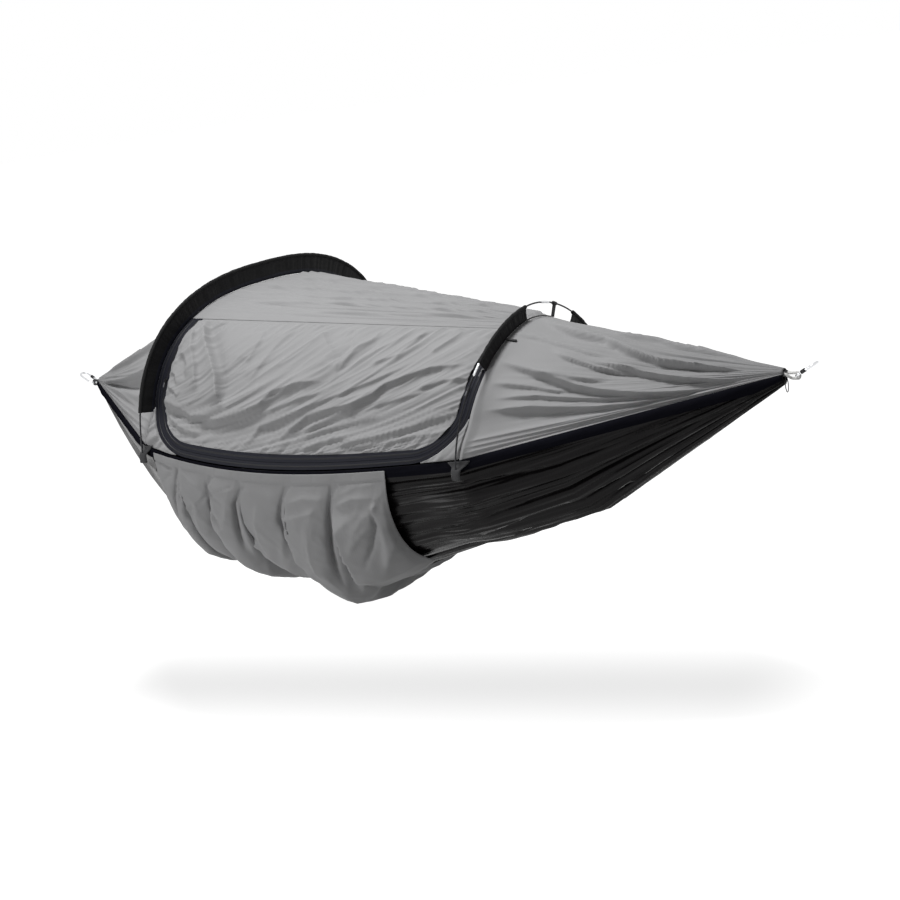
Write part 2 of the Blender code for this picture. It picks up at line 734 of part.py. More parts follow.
# The door side
def outline(inset):
    """The line round the door opening, inset from the wall's edges: (x, height) from seam to seam."""
    radius = ZIP_CORNER - inset
    low, high = inset, WALL_LENGTH - inset
    floor = inset + WALL_ABOVE_HEM
    spots = []
    for share in spread(0, 1, ZIP_SIDE_STEPS):
        spots.append((low, blend(HEAD_WALL_HEIGHT, ZIP_CORNER, share)))
    for i in range(1, CORNER_STEPS + 1):
        turn = math.pi / 2 * i / CORNER_STEPS
        height = ZIP_CORNER + WALL_ABOVE_HEM - radius * math.sin(turn)
        spots.append((ZIP_CORNER - radius * math.cos(turn), height))
    for share in spread(0, 1, MIDDLE_ROWS)[1:]:
        spots.append((blend(ZIP_CORNER, WALL_LENGTH - ZIP_CORNER, share), floor))
    for i in range(1, CORNER_STEPS + 1):
        turn = math.pi / 2 * i / CORNER_STEPS
        height = ZIP_CORNER + WALL_ABOVE_HEM - radius * math.cos(turn)
        spots.append((WALL_LENGTH - ZIP_CORNER + radius * math.sin(turn), height))
    for share in spread(0, 1, ZIP_SIDE_STEPS)[1:]:
        spots.append((high, blend(ZIP_CORNER, FOOT_WALL_HEIGHT, share)))
    return spots


def make_zip(name, inner, outer):
    """A zip tape round the door with its ridge of teeth, between two insets from the wall's edges."""
    middle = (inner + outer) / 2
    half_ridge = ZIP_RIDGE / 2
    insets = (inner, middle - half_ridge, middle - half_ridge, middle + half_ridge, middle + half_ridge, outer)
    heights = (0.0, 0.0, ZIP_RIDGE_HEIGHT, ZIP_RIDGE_HEIGHT, 0.0, 0.0)
    lines = [outline(inset) for inset in insets]
    sections = []
    for i in range(len(lines[0])):
        top = [on_wall(*line[i], CLOTH / 2 + height) for line, height in zip(lines, heights)]
        base = [on_wall(*lines[k][i], -CLOTH / 2) for k in (5, 0)]
        sections.append(top + base)
    sweep(name, sections, "zip")


def make_gussets():
    """The two cover corners between the zip's round corners and the arch feet."""
    low = SEAM_GAP
    floor = WALL_ABOVE_HEM
    for name, at_foot in (("head_gusset", False), ("foot_gusset", True)):
        rows = []
        for turn in spread(GUSSET_TRIM, math.pi / 2 - GUSSET_TRIM, GUSSET_STEPS):
            arc = (ZIP_CORNER * (1 - math.cos(turn)), ZIP_CORNER * (1 - math.sin(turn)))
            if turn < math.pi / 4:
                corner = (low, ZIP_CORNER - (ZIP_CORNER - low) * math.tan(turn))
            else:
                corner = (ZIP_CORNER - (ZIP_CORNER - low) / math.tan(turn), low * 2)
            row = []
            for share in (0.0, 0.5, 1.0):
                x = blend(corner[0], arc[0] - SEAM_GAP, share)
                height = floor + blend(corner[1], arc[1] - SEAM_GAP, share)
                row.append(on_wall(WALL_LENGTH - x if at_foot else x, height))
            rows.append(row)
        sheet(name, rows, "cover")


DOOR_ROWS = 7
DOOR_CORNER_ROWS = 5
DOOR_COLUMNS = 12
DOOR_INSET = 2 * ZIP_TAPE + HINGE_GAP + 2 * SEAM_GAP


def door_grid(out, billow):
    """The door's grid of points, below the seam and inside the zips, with round lower corners."""
    radius = ZIP_CORNER - DOOR_INSET
    floor = DOOR_INSET + WALL_ABOVE_HEM
    levels = [(share, 0.0) for share in spread(0, 1, DOOR_ROWS)]
    levels += [(1.0, turn) for turn in spread(0, math.pi / 2, DOOR_CORNER_ROWS)[1:]]
    rows = []
    for share_down, turn in levels:
        row = []
        for across in spread(0, 1, DOOR_COLUMNS):
            top = blend(HEAD_WALL_HEIGHT, FOOT_WALL_HEIGHT, across) - HINGE_GAP / 2
            height = blend(top, floor + radius, share_down) - radius * math.sin(turn)
            cut = DOOR_INSET + radius * (1 - math.cos(turn))
            x = blend(cut, WALL_LENGTH - cut, across)
            fall = (top - height) / (top - floor)
            puff = billow * math.sin(math.pi * across) * math.sin(math.pi * fall)
            fold = puff * DOOR_FOLD_SHARE * math.cos(2 * math.pi * (DOOR_FOLDS * across + fall))
            row.append(on_wall(x, height, out + puff + fold))
        rows.append(row)
    return rows


def make_door():
    sheet("door_panel", door_grid(0.0, DOOR_BILLOW), "cover")
    sheet("net_panel", door_grid(-NET_BEHIND_DOOR, 0.0), "net")


# The under pouch
def pouch_x(share):
    return HEM_HEAD.x + POUCH_FROM_ARCH + share * POUCH_LENGTH_SHARE * (HEM_FOOT.x - HEM_HEAD.x)


def drawn_back(share, hang):
    """How far the pouch is drawn towards the head end at a share of its length and of the way down."""
    from_head, from_foot = POUCH_DRAWN_SHARES
    most = POUCH_DRAWN_BACK * ease(share / from_head)
    side = blend(most, POUCH_EDGE_DRAWN_BACK, ease((share - from_foot) / (1 - from_foot))) * hang
    from_share, from_hang = POUCH_MIDDLE_SHARES
    near_edge = ease((share - from_share) / (1 - from_share))
    return side + POUCH_MIDDLE_DRAWN_BACK * near_edge * ease((hang - from_hang) / (1 - from_hang))


def fullness(share, hang):
    """How full the pouch is at a share of its length: least at its tucks, most between them."""
    for low, high in zip(TUCK_SHARES, TUCK_SHARES[1:]):
        if share <= high[0]:
            place_between = (share - low[0]) / (high[0] - low[0])
            at_low, at_high = blend(low[1], low[2], hang ** 2), blend(high[1], high[2], hang ** 2)
            least = blend(at_low, at_high, place_between)
            return least + (low[3] - least) * max(0.0, math.sin(math.pi * place_between)) ** BILLOW_POWER
    return TUCK_SHARES[-1][1]


def make_pouch():
    rows = []
    stops = [
        blend(low[0], high[0], k / BILLOW_STEPS)
        for low, high in zip(TUCK_SHARES, TUCK_SHARES[1:]) for k in range(BILLOW_STEPS)
    ]
    for share in (*stops, TUCK_SHARES[-1][0]):
        hem_x = pouch_x(share)
        start = POUCH_BELOW_HEM / (hem(hem_x).z - bottom_z(hem_x))
        first = math.asin(start ** (SECTION_POWER / 2))
        row = []
        for turn in spread(first, math.pi - first, HAMMOCK_COLUMNS):
            hang = math.sin(turn)
            x = hem_x - drawn_back(share, hang)
            full = POUCH_SLACK * fullness(share, hang) * hang ** HANG_POWER
            row.append(shell(x, turn, POUCH_SEAT + full, False))
        rows.append(row)
    sheet("under_pouch", rows, "cover")


# Poles, ferrules and sleeves
def make_poles(prefix, arch):
    """Four pole sections that butt inside three ferrules."""
    joints = arch.joints
    places = ("near_foot", "near_shoulder", "far_shoulder", "far_foot")
    pocket = [arch.turn_at_height(height) for height in POLE_HEIGHTS]
    reaches = [turn_per_metre(arch, turn) * FERRULE_LENGTH / 2 for turn in joints]
    gaps = [turn_per_metre(arch, turn) * POLE_BUTT_GAP / 2 for turn in joints]
    lows = [(0.0, 0.0), *((turn + gap, turn + reach) for turn, gap, reach in zip(joints, gaps, reaches))]
    highs = [*((turn - gap, turn - reach) for turn, gap, reach in zip(joints, gaps, reaches))]
    highs.append((math.pi, math.pi))
    for place_name, (low, low_in), (high, high_in) in zip(places, lows, highs):
        both = [*pocket, *(turn for turn in arch.turns if pocket[-1] < turn < math.pi - pocket[-1])]
        both += [math.pi - turn for turn in pocket[::-1]]
        turns = {low, low_in, high_in, high, *(turn for turn in both if low_in < turn < high_in)}
        turns = sorted(turns)
        rod(f"{prefix}_pole_{place_name}", [arch.point(turn) for turn in turns], POLE, "pole")
    for place_name, turn, reach in zip(("near", "top", "far"), joints, reaches):
        outers, inners = [], []
        for spot in spread(turn - reach, turn + reach, 2):
            centre = arch.point(spot)
            inward = arch.inward(spot)
            outers.append(ring(centre, inward, arch.normal, FERRULE / 2))
            inners.append(ring(centre, inward, arch.normal, POLE / 2 + FERRULE_CLEARANCE))
        pipe(f"{prefix}_ferrule_{place_name}", outers, inners, "ferrule")


def ring(centre, one, two, radius, sides=SMALL_SIDES):
    return [
        centre + (one * math.cos(2 * math.pi * i / sides) + two * math.sin(2 * math.pi * i / sides)) * radius
        for i in range(sides)
    ]


def pipe(name, outers, inners, look):
    """A hollow tube between rings of outer and inner points."""
    mesh = bpy.data.meshes.new(name)
    shape = bmesh.new()
    outer = [[shape.verts.new(point) for point in spots] for spots in outers]
    inner = [[shape.verts.new(point) for point in spots] for spots in inners]
    count = len(outer[0])
    for i in range(count):
        j = (i + 1) % count
        for rings in (outer, inner):
            for low, high in zip(rings, rings[1:]):
                shape.faces.new((low[i], low[j], high[j], high[i]))
        for out, bore in ((outer[0], inner[0]), (outer[-1], inner[-1])):
            shape.faces.new((out[i], out[j], bore[j], bore[i]))
    bmesh.ops.recalc_face_normals(shape, faces=shape.faces)
    shape.to_mesh(mesh)
    shape.free()
    return place(bpy.data.objects.new(name, mesh), look)


TUNNEL_BORE = FERRULE / 2 + TUNNEL_LOOSE
TUNNEL_OUTER = TUNNEL_BORE + TUNNEL_WALL


def make_sleeve(name, arch, turn_from, turn_to, look="sleeve"):
    """A pole tunnel standing on the cloth on a flat web."""
    mouth = math.asin(WEB_THICK / 2 / TUNNEL_OUTER)
    stations = list(arch.turns)
    for turn in arch.joints:
        reach = turn_per_metre(arch, turn) * FERRULE_LENGTH / 2
        stations += [turn - reach, turn, turn + reach]
    between = sorted(turn for turn in set(stations) if turn_from + SEAM_GAP < turn < turn_to - SEAM_GAP)
    outers, inners = [], []
    for turn in (turn_from, *between, turn_to):
        centre = arch.point(turn)
        inward = arch.inward(turn)
        normal = arch.normal
        foot = arch.inset(turn) - CLOTH / 2 - WEB_STANDS_OFF
        outer = [centre + inward * foot - normal * (WEB_THICK / 2)]
        inner = []
        for i in range(TUNNEL_SIDES + 1):
            angle = blend(-mouth, mouth - 2 * math.pi, i / TUNNEL_SIDES)
            outer.append(centre + (inward * math.cos(angle) + normal * math.sin(angle)) * TUNNEL_OUTER)
            inner.append(centre + (inward * math.cos(angle) + normal * math.sin(angle)) * TUNNEL_BORE)
        outer.append(centre + inward * foot + normal * (WEB_THICK / 2))
        outers.append(outer)
        inners.append(inner)
    tunnel(name, outers, inners, look)


def make_pockets():
    """Webbing pockets, sewn on the hem bands, that take the pole feet."""
    bore = POLE / 2 + POCKET_BORE_LOOSE
    block_half = bore + POCKET_WEB
    for name, arch, side in (
        ("head_near_pocket", HEAD_ARCH, NEAR), ("head_far_pocket", HEAD_ARCH, FAR),
        ("foot_near_pocket", FOOT_ARCH, NEAR), ("foot_far_pocket", FOOT_ARCH, FAR),
    ):
        seat, *above_seat = POLE_HEIGHTS
        sections = []
        for height in (-POCKET_WEB - LINK_GAP, seat, *above_seat):
            grown = max(0.0, height - seat) / (POLE_HEIGHTS[-1] - seat)
            half = blend(POCKET_FOOT_WIDTH, POCKET_TOP_WIDTH, grown) / 2
            on_pole = arch.point(arch.turn_at_height(max(0.0, height)))
            section = []
            for reach, outer in ((-half, False), (0, False), (half, False), (half, True), (0, True), (-half, True)):
                x = on_pole.x + reach
                if height > seat:
                    x = arch.cloth(arch.hem_turn()).x + reach
                    band = -hem(x).y + BAND_STANDS_OFF + CLOTH / 2 + SEAM_GAP
                    y = -band - (POCKET_WEB if outer else 0.0)
                else:
                    y = on_pole.y + (-block_half if outer else block_half)
                section.append(Vector((x, side * y, arch.foot_z + height)))
            sections.append(section)
        pocket = sweep(name, sections, "webbing")
        foot = arch.point(0.0)
        above = arch.point(arch.turn_at_height(seat))
        axis = (above - foot).normalized()
        foot.y *= side
        axis.y *= side
        length = 2 * POCKET_SOCKET_DEPTH
        frame = axis.to_track_quat("Z", "Y").to_matrix().to_4x4()
        frame = Matrix.Translation(foot + axis * (length / 2 - LINK_GAP)) @ frame
        combine(pocket, drum(f"{name}_socket", bore, length, frame, "webbing"), "DIFFERENCE")


# The ridge strap, cord and toggle at the foot arch
def make_ridge_trim():
    half = turn_per_metre(FOOT_ARCH, STRAP_TURN) * STRAP_WIDTH / 2
    make_sleeve("ridge_strap", FOOT_ARCH, STRAP_TURN - half, STRAP_TURN + half, "webbing")
    lift = CLOTH / 2 + CORD / 2 + SEAM_GAP
    start = FOOT_SLEEVE_TO + turn_per_metre(FOOT_ARCH, FOOT_SLEEVE_TO) * CORD
    end = STRAP_TURN - half - turn_per_metre(FOOT_ARCH, STRAP_TURN) * CORD / 2
    line = [FOOT_ARCH.point(turn, FOOT_ARCH.inset(turn) - lift) for turn in spread(start, end, CORD_STEPS)]
    rod("ridge_cord", line, CORD, "cord")


def make_toggle():
    """The tab, sewn at the arch, that ties the rolled door back; it lies on the foot cover."""
    turns, lengths = FOOT_ARCH.table(FOOT_ARCH.turns[0], FOOT_ARCH.turns[-1])
    across = next(length for turn, length in zip(turns, lengths) if turn > TOGGLE_TURN) / lengths[-1]
    start = FOOT_ARCH.cloth(TOGGLE_TURN) + FOOT_ARCH.normal * SEAM_GAP
    along = (end_ring(math.pi * across, CLOTH_FOOT_X) - start).normalized()
    outwards = -FOOT_ARCH.inward(TOGGLE_TURN)
    frame = frame_of(start, along, outwards)
    lift = CLOTH + TOGGLE_THICK / 2
    frame = frame @ Matrix.Translation((TOGGLE_LENGTH / 2 + WEB_THICK + SEAM_GAP, 0, lift))
    block("tie_back_toggle", (TOGGLE_LENGTH, TOGGLE_WIDTH, TOGGLE_THICK), frame, "webbing")


# Zip sliders with their pulls
def make_slider(name, x, height):
    """A slider on an upright run of a zip, its pull hanging down over the tape."""
    step = SLIDER_LENGTH / 2
    upwards = on_wall(x, height + step) - on_wall(x, height - step)
    along, up = laid_out(x, height)
    normal = wall_normal(along, up)
    base_out = CLOTH / 2 + ZIP_RIDGE_HEIGHT + SEAM_GAP + SLIDER_HEIGHT / 2
    frame = frame_of(on_wall(x, height, base_out), upwards, normal)
    slider = block(name, (SLIDER_LENGTH, SLIDER_WIDTH, SLIDER_HEIGHT), frame, "slider")
    ear_z = (SLIDER_HEIGHT + SLIDER_EAR_HEIGHT) / 2 - SLIDER_EAR / 2
    ear_y = (SLIDER_WIDTH - SLIDER_EAR) / 2 - SEAM_GAP
    for side in (-1, 1):
        spot = frame @ Matrix.Translation((0, side * ear_y, ear_z))
        size = (2 * SLIDER_EAR, SLIDER_EAR, SLIDER_EAR_HEIGHT + SLIDER_EAR)
        combine(slider, block(f"{name}_ear_{side}", size, spot, "slider"), "UNION")
    axle_frame = frame @ Matrix.Translation((0, 0, PULL_AXLE_RISE)) @ Matrix.Rotation(math.pi / 2, 4, "X")
    combine(slider, drum(f"{name}_axle", PULL_AXLE / 2, 2 * ear_y, axle_frame, "slider", SMALL_SIDES), "UNION")
    eye_width = 2 * ear_y - SLIDER_EAR - 2 * PULL_SIDE_GAP
    pull = drum(f"{name}_pull", PULL_EYE / 2, eye_width, axle_frame, "pull", SMALL_SIDES)
    tab = block(
        f"{name}_tab", (PULL_LENGTH, eye_width, PULL_THICK),
        frame @ Matrix.Translation((-PULL_LENGTH / 2, 0, PULL_AXLE_RISE)), "pull",
    )
    combine(pull, tab, "UNION")
    eye_bore = drum(f"{name}_eye_bore", PULL_BORE / 2, SLIDER_WIDTH, axle_frame, "pull", SMALL_SIDES)
    combine(pull, eye_bore, "DIFFERENCE")


def make_sliders():
    door_zip = ZIP_TAPE * 3 / 2 + 2 * SEAM_GAP
    net_zip = (2 * SEAM_GAP + ZIP_TAPE) / 2
    head_height = blend(HEAD_WALL_HEIGHT, ZIP_CORNER, DOOR_SLIDER_DOWN_SHARE)
    make_slider("door_slider_head", door_zip, head_height)
    foot_height = blend(FOOT_WALL_HEIGHT, ZIP_CORNER, DOOR_SLIDER_DOWN_SHARE)
    make_slider("door_slider_foot", WALL_LENGTH - door_zip, foot_height)
    net_height = blend(FOOT_WALL_HEIGHT, ZIP_CORNER, NET_SLIDER_DOWN_SHARE)
    make_slider("net_slider_foot", WALL_LENGTH - net_zip, net_height)


# The hanging ends
def make_end(prefix, end, outwards):
    """Rope loop, whipping, drawcord and carabiner at one end; outwards is -1 at the head and 1 at the foot."""
    pull = Vector((outwards * math.cos(HANG_TILT), 0, math.sin(HANG_TILT)))
    rise = Vector((-outwards * math.sin(HANG_TILT), 0, math.cos(HANG_TILT)))
    make_loop(prefix, end, outwards, pull, rise)
    make_ties(prefix, outwards)
    make_carabiner(prefix, end, pull, rise)


def make_loop(prefix, end, outwards, pull, rise):
    """A rope loop whose legs start beside the gathered cloth and close in an upright bow."""
    level = Vector((outwards, 0, 0))
    legs = ([], [])
    tip = end - pull * (ROPE_TIP_SPREAD / 2 + ROPE / 2)
    start = tip - level * (ROPE_LENGTH - ROPE_TIP_SPREAD)
    start.z = CHORD_Z
    for share in spread(0, 1, LEG_STEPS):
        turned = ease((share - TWIST_FROM_SHARE) / TWIST_SHARE)
        twist = turned * math.pi / 2
        spread_here = blend(ROPE_SPREAD, ROPE_TIP_SPREAD, ease(share)) / 2
        centre = blend(start, tip, share)
        centre.z = blend(start.z, tip.z, turned)
        for leg, sign in zip(legs, (-1, 1)):
            offset = Vector((0, sign * math.cos(twist), 0)) + rise * (sign * math.sin(twist))
            leg.append(centre + offset * spread_here)
    bow = []
    for turn in spread(0, math.pi, LOOP_STEPS)[1:-1]:
        bow.append(tip + rise * (-math.cos(turn)) * ROPE_TIP_SPREAD / 2 + pull * math.sin(turn) * ROPE_TIP_SPREAD / 2)
    rod(f"{prefix}_end_loop", legs[0] + bow + legs[1][::-1], ROPE, "rope" if outwards > 0 else "cord")


def make_ties(prefix, outwards):
    """The whipping round the rope where it leaves the cloth, and a draw cord hanging under it."""
    cloth_x = CLOTH_FOOT_X if outwards > 0 else CLOTH_HEAD_X
    tie_x = cloth_x + outwards * (TIE / 2 + 2 * LINK_GAP)
    round_rope = ROPE / 2 + TIE / 2 + LINK_GAP
    line = []
    for side in (1, -1):
        for turn in spread(-math.pi / 2, math.pi / 2, TIE_STEPS):
            across = side * (ROPE_TIP_SPREAD / 2 + round_rope * math.cos(turn))
            line.append(Vector((tie_x, across, CHORD_Z + side * round_rope * math.sin(turn))))
    rod(f"{prefix}_end_tie", line, TIE, "cord", True)
    drop = round_rope + TIE / 2 + DRAWCORD / 2 + LINK_GAP + DRAWCORD_LOOP / 2
    line = []
    for turn in spread(0, 2 * math.pi, DRAWCORD_STEPS)[:-1]:
        across = DRAWCORD_LOOP_HALF * math.cos(turn)
        line.append(Vector((tie_x, across, CHORD_Z - drop + DRAWCORD_LOOP / 2 * math.sin(turn))))
    rod(f"{prefix}_drawcord", line, DRAWCORD, "cord", True)


def make_carabiner(prefix, end, pull, rise):
    """A screw gate carabiner lying flat: body, gate on its pin, and the sleeve that locks it."""
    side = rise.cross(pull).normalized()
    bow_radius = (CARABINER_WIDTH - CARABINER_ROD) / 2
    straight = BOW_LENGTH - 2 * bow_radius
    knuckle = GATE_PIN
    inner = end - pull * (ROPE + LINK_GAP + ROD_RADIUS)
    middle = inner + pull * (bow_radius + straight / 2)
    gate_side = -1.0

    def at(along, across):
        return middle + pull * along + side * across

    line = [at(straight / 2 - GATE_PIN, gate_side * bow_radius), at(straight / 2, gate_side * bow_radius)]
    for turn in spread(0, math.pi, BOW_STEPS)[1:]:
        line.append(at(straight / 2 + bow_radius * math.sin(turn), gate_side * bow_radius * math.cos(turn)))
    for turn in spread(0, math.pi, BOW_STEPS):
        line.append(at(-straight / 2 - bow_radius * math.sin(turn), -gate_side * bow_radius * math.cos(turn)))
    line.append(at(-straight / 2 + ROD_RADIUS, gate_side * bow_radius))
    rod(f"{prefix}_carabiner", line, CARABINER_ROD, "alloy")
    body = as_mesh(bpy.data.objects[f"{prefix}_carabiner"], "alloy")
    pivot = at(-straight / 2 + ROD_RADIUS, gate_side * bow_radius)
    tongue_seat = block(
        f"{prefix}_hinge_end", (2 * CARABINER_ROD, 2 * CARABINER_ROD, GATE_SLOT),
        frame_of(pivot + pull * (CARABINER_ROD - knuckle - GATE_GAP), pull, rise), "alloy",
    )
    ear = drum(f"{prefix}_hinge_boss", ROD_RADIUS, CARABINER_ROD, frame_of(pivot, pull, rise), "alloy")
    combine(body, ear, "UNION")
    combine(body, tongue_seat, "DIFFERENCE")
    bore = drum(f"{prefix}_hinge_bore", GATE_PIN_BORE / 2, 2 * CARABINER_ROD, frame_of(pivot, pull, rise), "alloy")
    combine(body, bore, "DIFFERENCE")
    nose = at(straight / 2 - GATE_PIN, gate_side * bow_radius)
    gate_end = nose - pull * GATE_GAP
    gate_start = pivot + pull * (ROD_RADIUS + GATE_GAP)
    gate = as_mesh(rod(f"{prefix}_gate", [gate_start, gate_end], CARABINER_ROD, "alloy"), "alloy")
    tongue_length = (gate_start - pivot).length + CARABINER_ROD / 4
    tongue = block(
        f"{prefix}_gate_tongue", (tongue_length, 2 * knuckle, GATE_TONGUE),
        frame_of(pivot + pull * (tongue_length / 2), pull, rise), "alloy",
    )
    knuckle = drum(f"{prefix}_gate_knuckle", knuckle, GATE_TONGUE, frame_of(pivot, pull, rise), "alloy")
    pin_bore = drum(
        f"{prefix}_gate_bore", GATE_PIN_BORE / 2, CARABINER_ROD, frame_of(pivot, pull, rise), "alloy",
    )
    combine(gate, tongue, "UNION")
    combine(gate, knuckle, "UNION")
    combine(gate, pin_bore, "DIFFERENCE")
    drum(f"{prefix}_gate_pin", GATE_PIN / 2, CARABINER_ROD, frame_of(pivot, pull, rise), "alloy", SMALL_SIDES)
    sleeve_middle = gate_start + pull * (LOCK_SLEEVE_LENGTH / 2 + GATE_GAP)
    outers, inners = [], []
    for end_sign in (-1, 1):
        centre = sleeve_middle + pull * (end_sign * LOCK_SLEEVE_LENGTH / 2)
        outers.append(ring(centre, side, rise, LOCK_SLEEVE_OUTER / 2, ROUND_SIDES))
        inners.append(ring(centre, side, rise, LOCK_SLEEVE_BORE / 2, ROUND_SIDES))
    pipe(f"{prefix}_lock_sleeve", outers, inners, "lock")


def main():
    for obj in list(bpy.data.objects):
        bpy.data.objects.remove(obj)
    for collection in (parts, cutters):
        bpy.context.scene.collection.children.link(collection)
    make_hammock()
    make_hem_bands()
    make_end_cover("head_cover", HEAD_ARCH, CLOTH_HEAD_X, -1)
    make_end_cover("foot_cover", FOOT_ARCH, CLOTH_FOOT_X, 1)
    make_roof()
    make_far_wall()
    make_zip("net_zip_tape", 2 * SEAM_GAP, ZIP_TAPE)
    make_zip("door_zip_tape", ZIP_TAPE + SEAM_GAP, 2 * ZIP_TAPE + 3 * SEAM_GAP)
    make_gussets()
    make_door()
    make_pouch()
    make_poles("head", HEAD_ARCH)
    make_poles("foot", FOOT_ARCH)
    make_sleeve("head_arch_sleeve", HEAD_ARCH, HEAD_SLEEVE_TURN, math.pi - HEAD_SLEEVE_TURN)
    make_sleeve("foot_sleeve_near", FOOT_ARCH, FOOT_SLEEVE_FROM, FOOT_SLEEVE_TO)
    make_sleeve("foot_sleeve_far", FOOT_ARCH, FAR_SLEEVE_FROM, FAR_SLEEVE_TO)
    make_pockets()
    make_ridge_trim()
    make_toggle()
    make_sliders()
    make_end("head", HEAD_END, -1.0)
    make_end("foot", FOOT_END, 1.0)


main()
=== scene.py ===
"""Dresses the hammock tent: its cloth with folds, zips, pole sleeves, webbing, ropes and carabiners.

It also lays the floor and sets the lamps and the camera.
"""

import math

import bmesh
import bpy
import numpy as np
from bpy.props import FloatProperty, FloatVectorProperty, IntProperty, PointerProperty
from mathutils import Matrix, Vector


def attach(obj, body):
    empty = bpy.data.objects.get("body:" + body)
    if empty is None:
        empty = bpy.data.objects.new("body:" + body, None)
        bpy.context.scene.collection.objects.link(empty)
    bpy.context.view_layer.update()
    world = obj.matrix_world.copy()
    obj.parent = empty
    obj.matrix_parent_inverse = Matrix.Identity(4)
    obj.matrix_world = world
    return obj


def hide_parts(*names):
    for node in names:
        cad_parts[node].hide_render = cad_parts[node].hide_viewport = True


bl_info = {
    "name": "Hammock tent",
    "version": (1, 0, 0),
    "blender": (4, 5, 0),
    "location": "View3D > Sidebar > Hammock tent",
    "description": "Builds a hung hammock tent in cloth, with its stage",
    "category": "Object",
}

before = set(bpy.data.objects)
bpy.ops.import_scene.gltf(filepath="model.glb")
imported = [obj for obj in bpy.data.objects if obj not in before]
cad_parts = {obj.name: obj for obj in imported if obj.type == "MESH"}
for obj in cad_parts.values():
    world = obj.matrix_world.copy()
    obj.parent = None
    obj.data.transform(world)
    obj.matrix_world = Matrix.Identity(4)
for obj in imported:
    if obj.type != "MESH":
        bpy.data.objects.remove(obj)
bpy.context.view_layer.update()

# The tent's sizes, the same as in the part
FABRIC_LENGTH = 2.80
HANG_TILT = math.radians(30.0)
HAMMOCK_DEPTH = 0.61
CLOTH = 0.0015
SEAM_GAP = 0.0004
HEM_ABOVE_POLE_FOOT = 0.040
HEM_INSIDE_POLE = 0.018
WALL_ABOVE_HEM = 0.0020
HEM_SAG, HEM_BULGE, HEM_SAG_SKEW, HEM_SAG_FADE = 0.050, 0.030, 0.80, 1.5
BAND_WIDTH = 0.030
BAND_STANDS_OFF = 2 * CLOTH
END_HALF, END_DEPTH, END_CROWN = 0.013, 0.020, 0.013
CLOTH_STOPS_SHORT = 0.045
BOTTOM_SHARES = (
    (0.0, 0.0), (0.143, 0.541), (0.286, 0.869), (0.429, 1.0), (0.525, 0.967), (0.780, 0.615), (1.0, 0.0),
)
STRAIGHT_FROM_SHARE = 0.525
SECTION_POWER, END_SECTION_POWER, HEAD_SECTION_POWER = 2.25, 2.0, 1.85
FOLD_FADES_OVER = 1.10
POLE, FERRULE, FERRULE_LENGTH = 0.0050, 0.0074, 0.038
HEAD_WEB, FOOT_WEB, WEB_FLARE, WEB_STANDS_OFF, WEB_THICK = 0.062, 0.042, 0.120, 0.0010, 0.0024
TUNNEL_OUTER = FERRULE / 2 + 0.0007 + 0.0012
HEAD_SLEEVE_TURN = math.radians(12.0)
FOOT_SLEEVE_FROM, FOOT_SLEEVE_TO = math.radians(47.8), math.radians(85.0)
FAR_SLEEVE_FROM, FAR_SLEEVE_TO = math.radians(123.0), math.radians(150.0)
HEAD_JOINTS = (math.radians(52.0), math.radians(90.0), math.radians(128.0))
FOOT_JOINTS = (math.radians(44.8), math.radians(101.0), math.radians(156.0))
STRAP_TURN, STRAP_WIDTH = math.radians(108.5), 0.016
HEAD_SEAM_TURN, FOOT_SEAM_TURN = math.radians(59.0), math.radians(75.0)
ZIP_TAPE, ZIP_CORNER, HINGE_GAP = 0.0185, 0.150, 0.0012
POUCH_FROM_ARCH, POUCH_LENGTH_SHARE = 0.0358, 0.754
POUCH_SEAT = BAND_STANDS_OFF + CLOTH + 2 * SEAM_GAP
POUCH_BELOW_HEM, POUCH_SLACK = 0.008, 0.080
POUCH_DRAWN_BACK, POUCH_EDGE_DRAWN_BACK, POUCH_DRAWN_SHARES = 0.13, 0.06, (0.18, 0.78)
POUCH_MIDDLE_DRAWN_BACK, POUCH_MIDDLE_SHARES = 0.18, (0.50, 0.88)
# Each tuck's share of the pouch's length, how full it stays near the top and at the bottom, and the most after
# it at mid height and at the bottom: the cloth hangs fullest at mid height
TUCK_SHARES = (
    (0.0, 0.75, 0.0, 0.95, 0.06), (0.12, 0.37, 0.20, 0.74, 0.0), (0.25, 0.05, 0.0, 1.02, 0.50),
    (0.40, 0.05, 0.0, 0.66, 0.06), (0.60, 0.05, 0.38, 1.02, 1.05), (0.80, 0.14, 0.55, 0.90, 0.20),
    (1.0, 0.15, 0.0, 0.03, 0.03),
)
CARABINER_LENGTH, CARABINER_WIDTH, CARABINER_ROD = 0.076, 0.040, 0.0070
GATE_PIN, GATE_GAP, GATE_SLOT, GATE_TONGUE = 0.0020, 0.0005, 0.0032, 0.0026
LOCK_SLEEVE_OUTER, LOCK_SLEEVE_BORE, LOCK_SLEEVE_LENGTH = 0.0110, 0.0076, 0.0140
ROPE, ROPE_LENGTH, ROPE_SPREAD, ROPE_TIP_SPREAD = 0.0080, 0.085, 0.015, 0.017
TWIST_FROM_SHARE, TWIST_SHARE = 0.57, 0.21
TIE, DRAWCORD, DRAWCORD_LOOP, DRAWCORD_LOOP_HALF, LINK_GAP = 0.0030, 0.0024, 0.042, 0.0084, 0.0003
CORD = 0.0028
TOGGLE_LENGTH, TOGGLE_WIDTH, TOGGLE_THICK, TOGGLE_TURN = 0.034, 0.007, 0.004, math.radians(66.0)

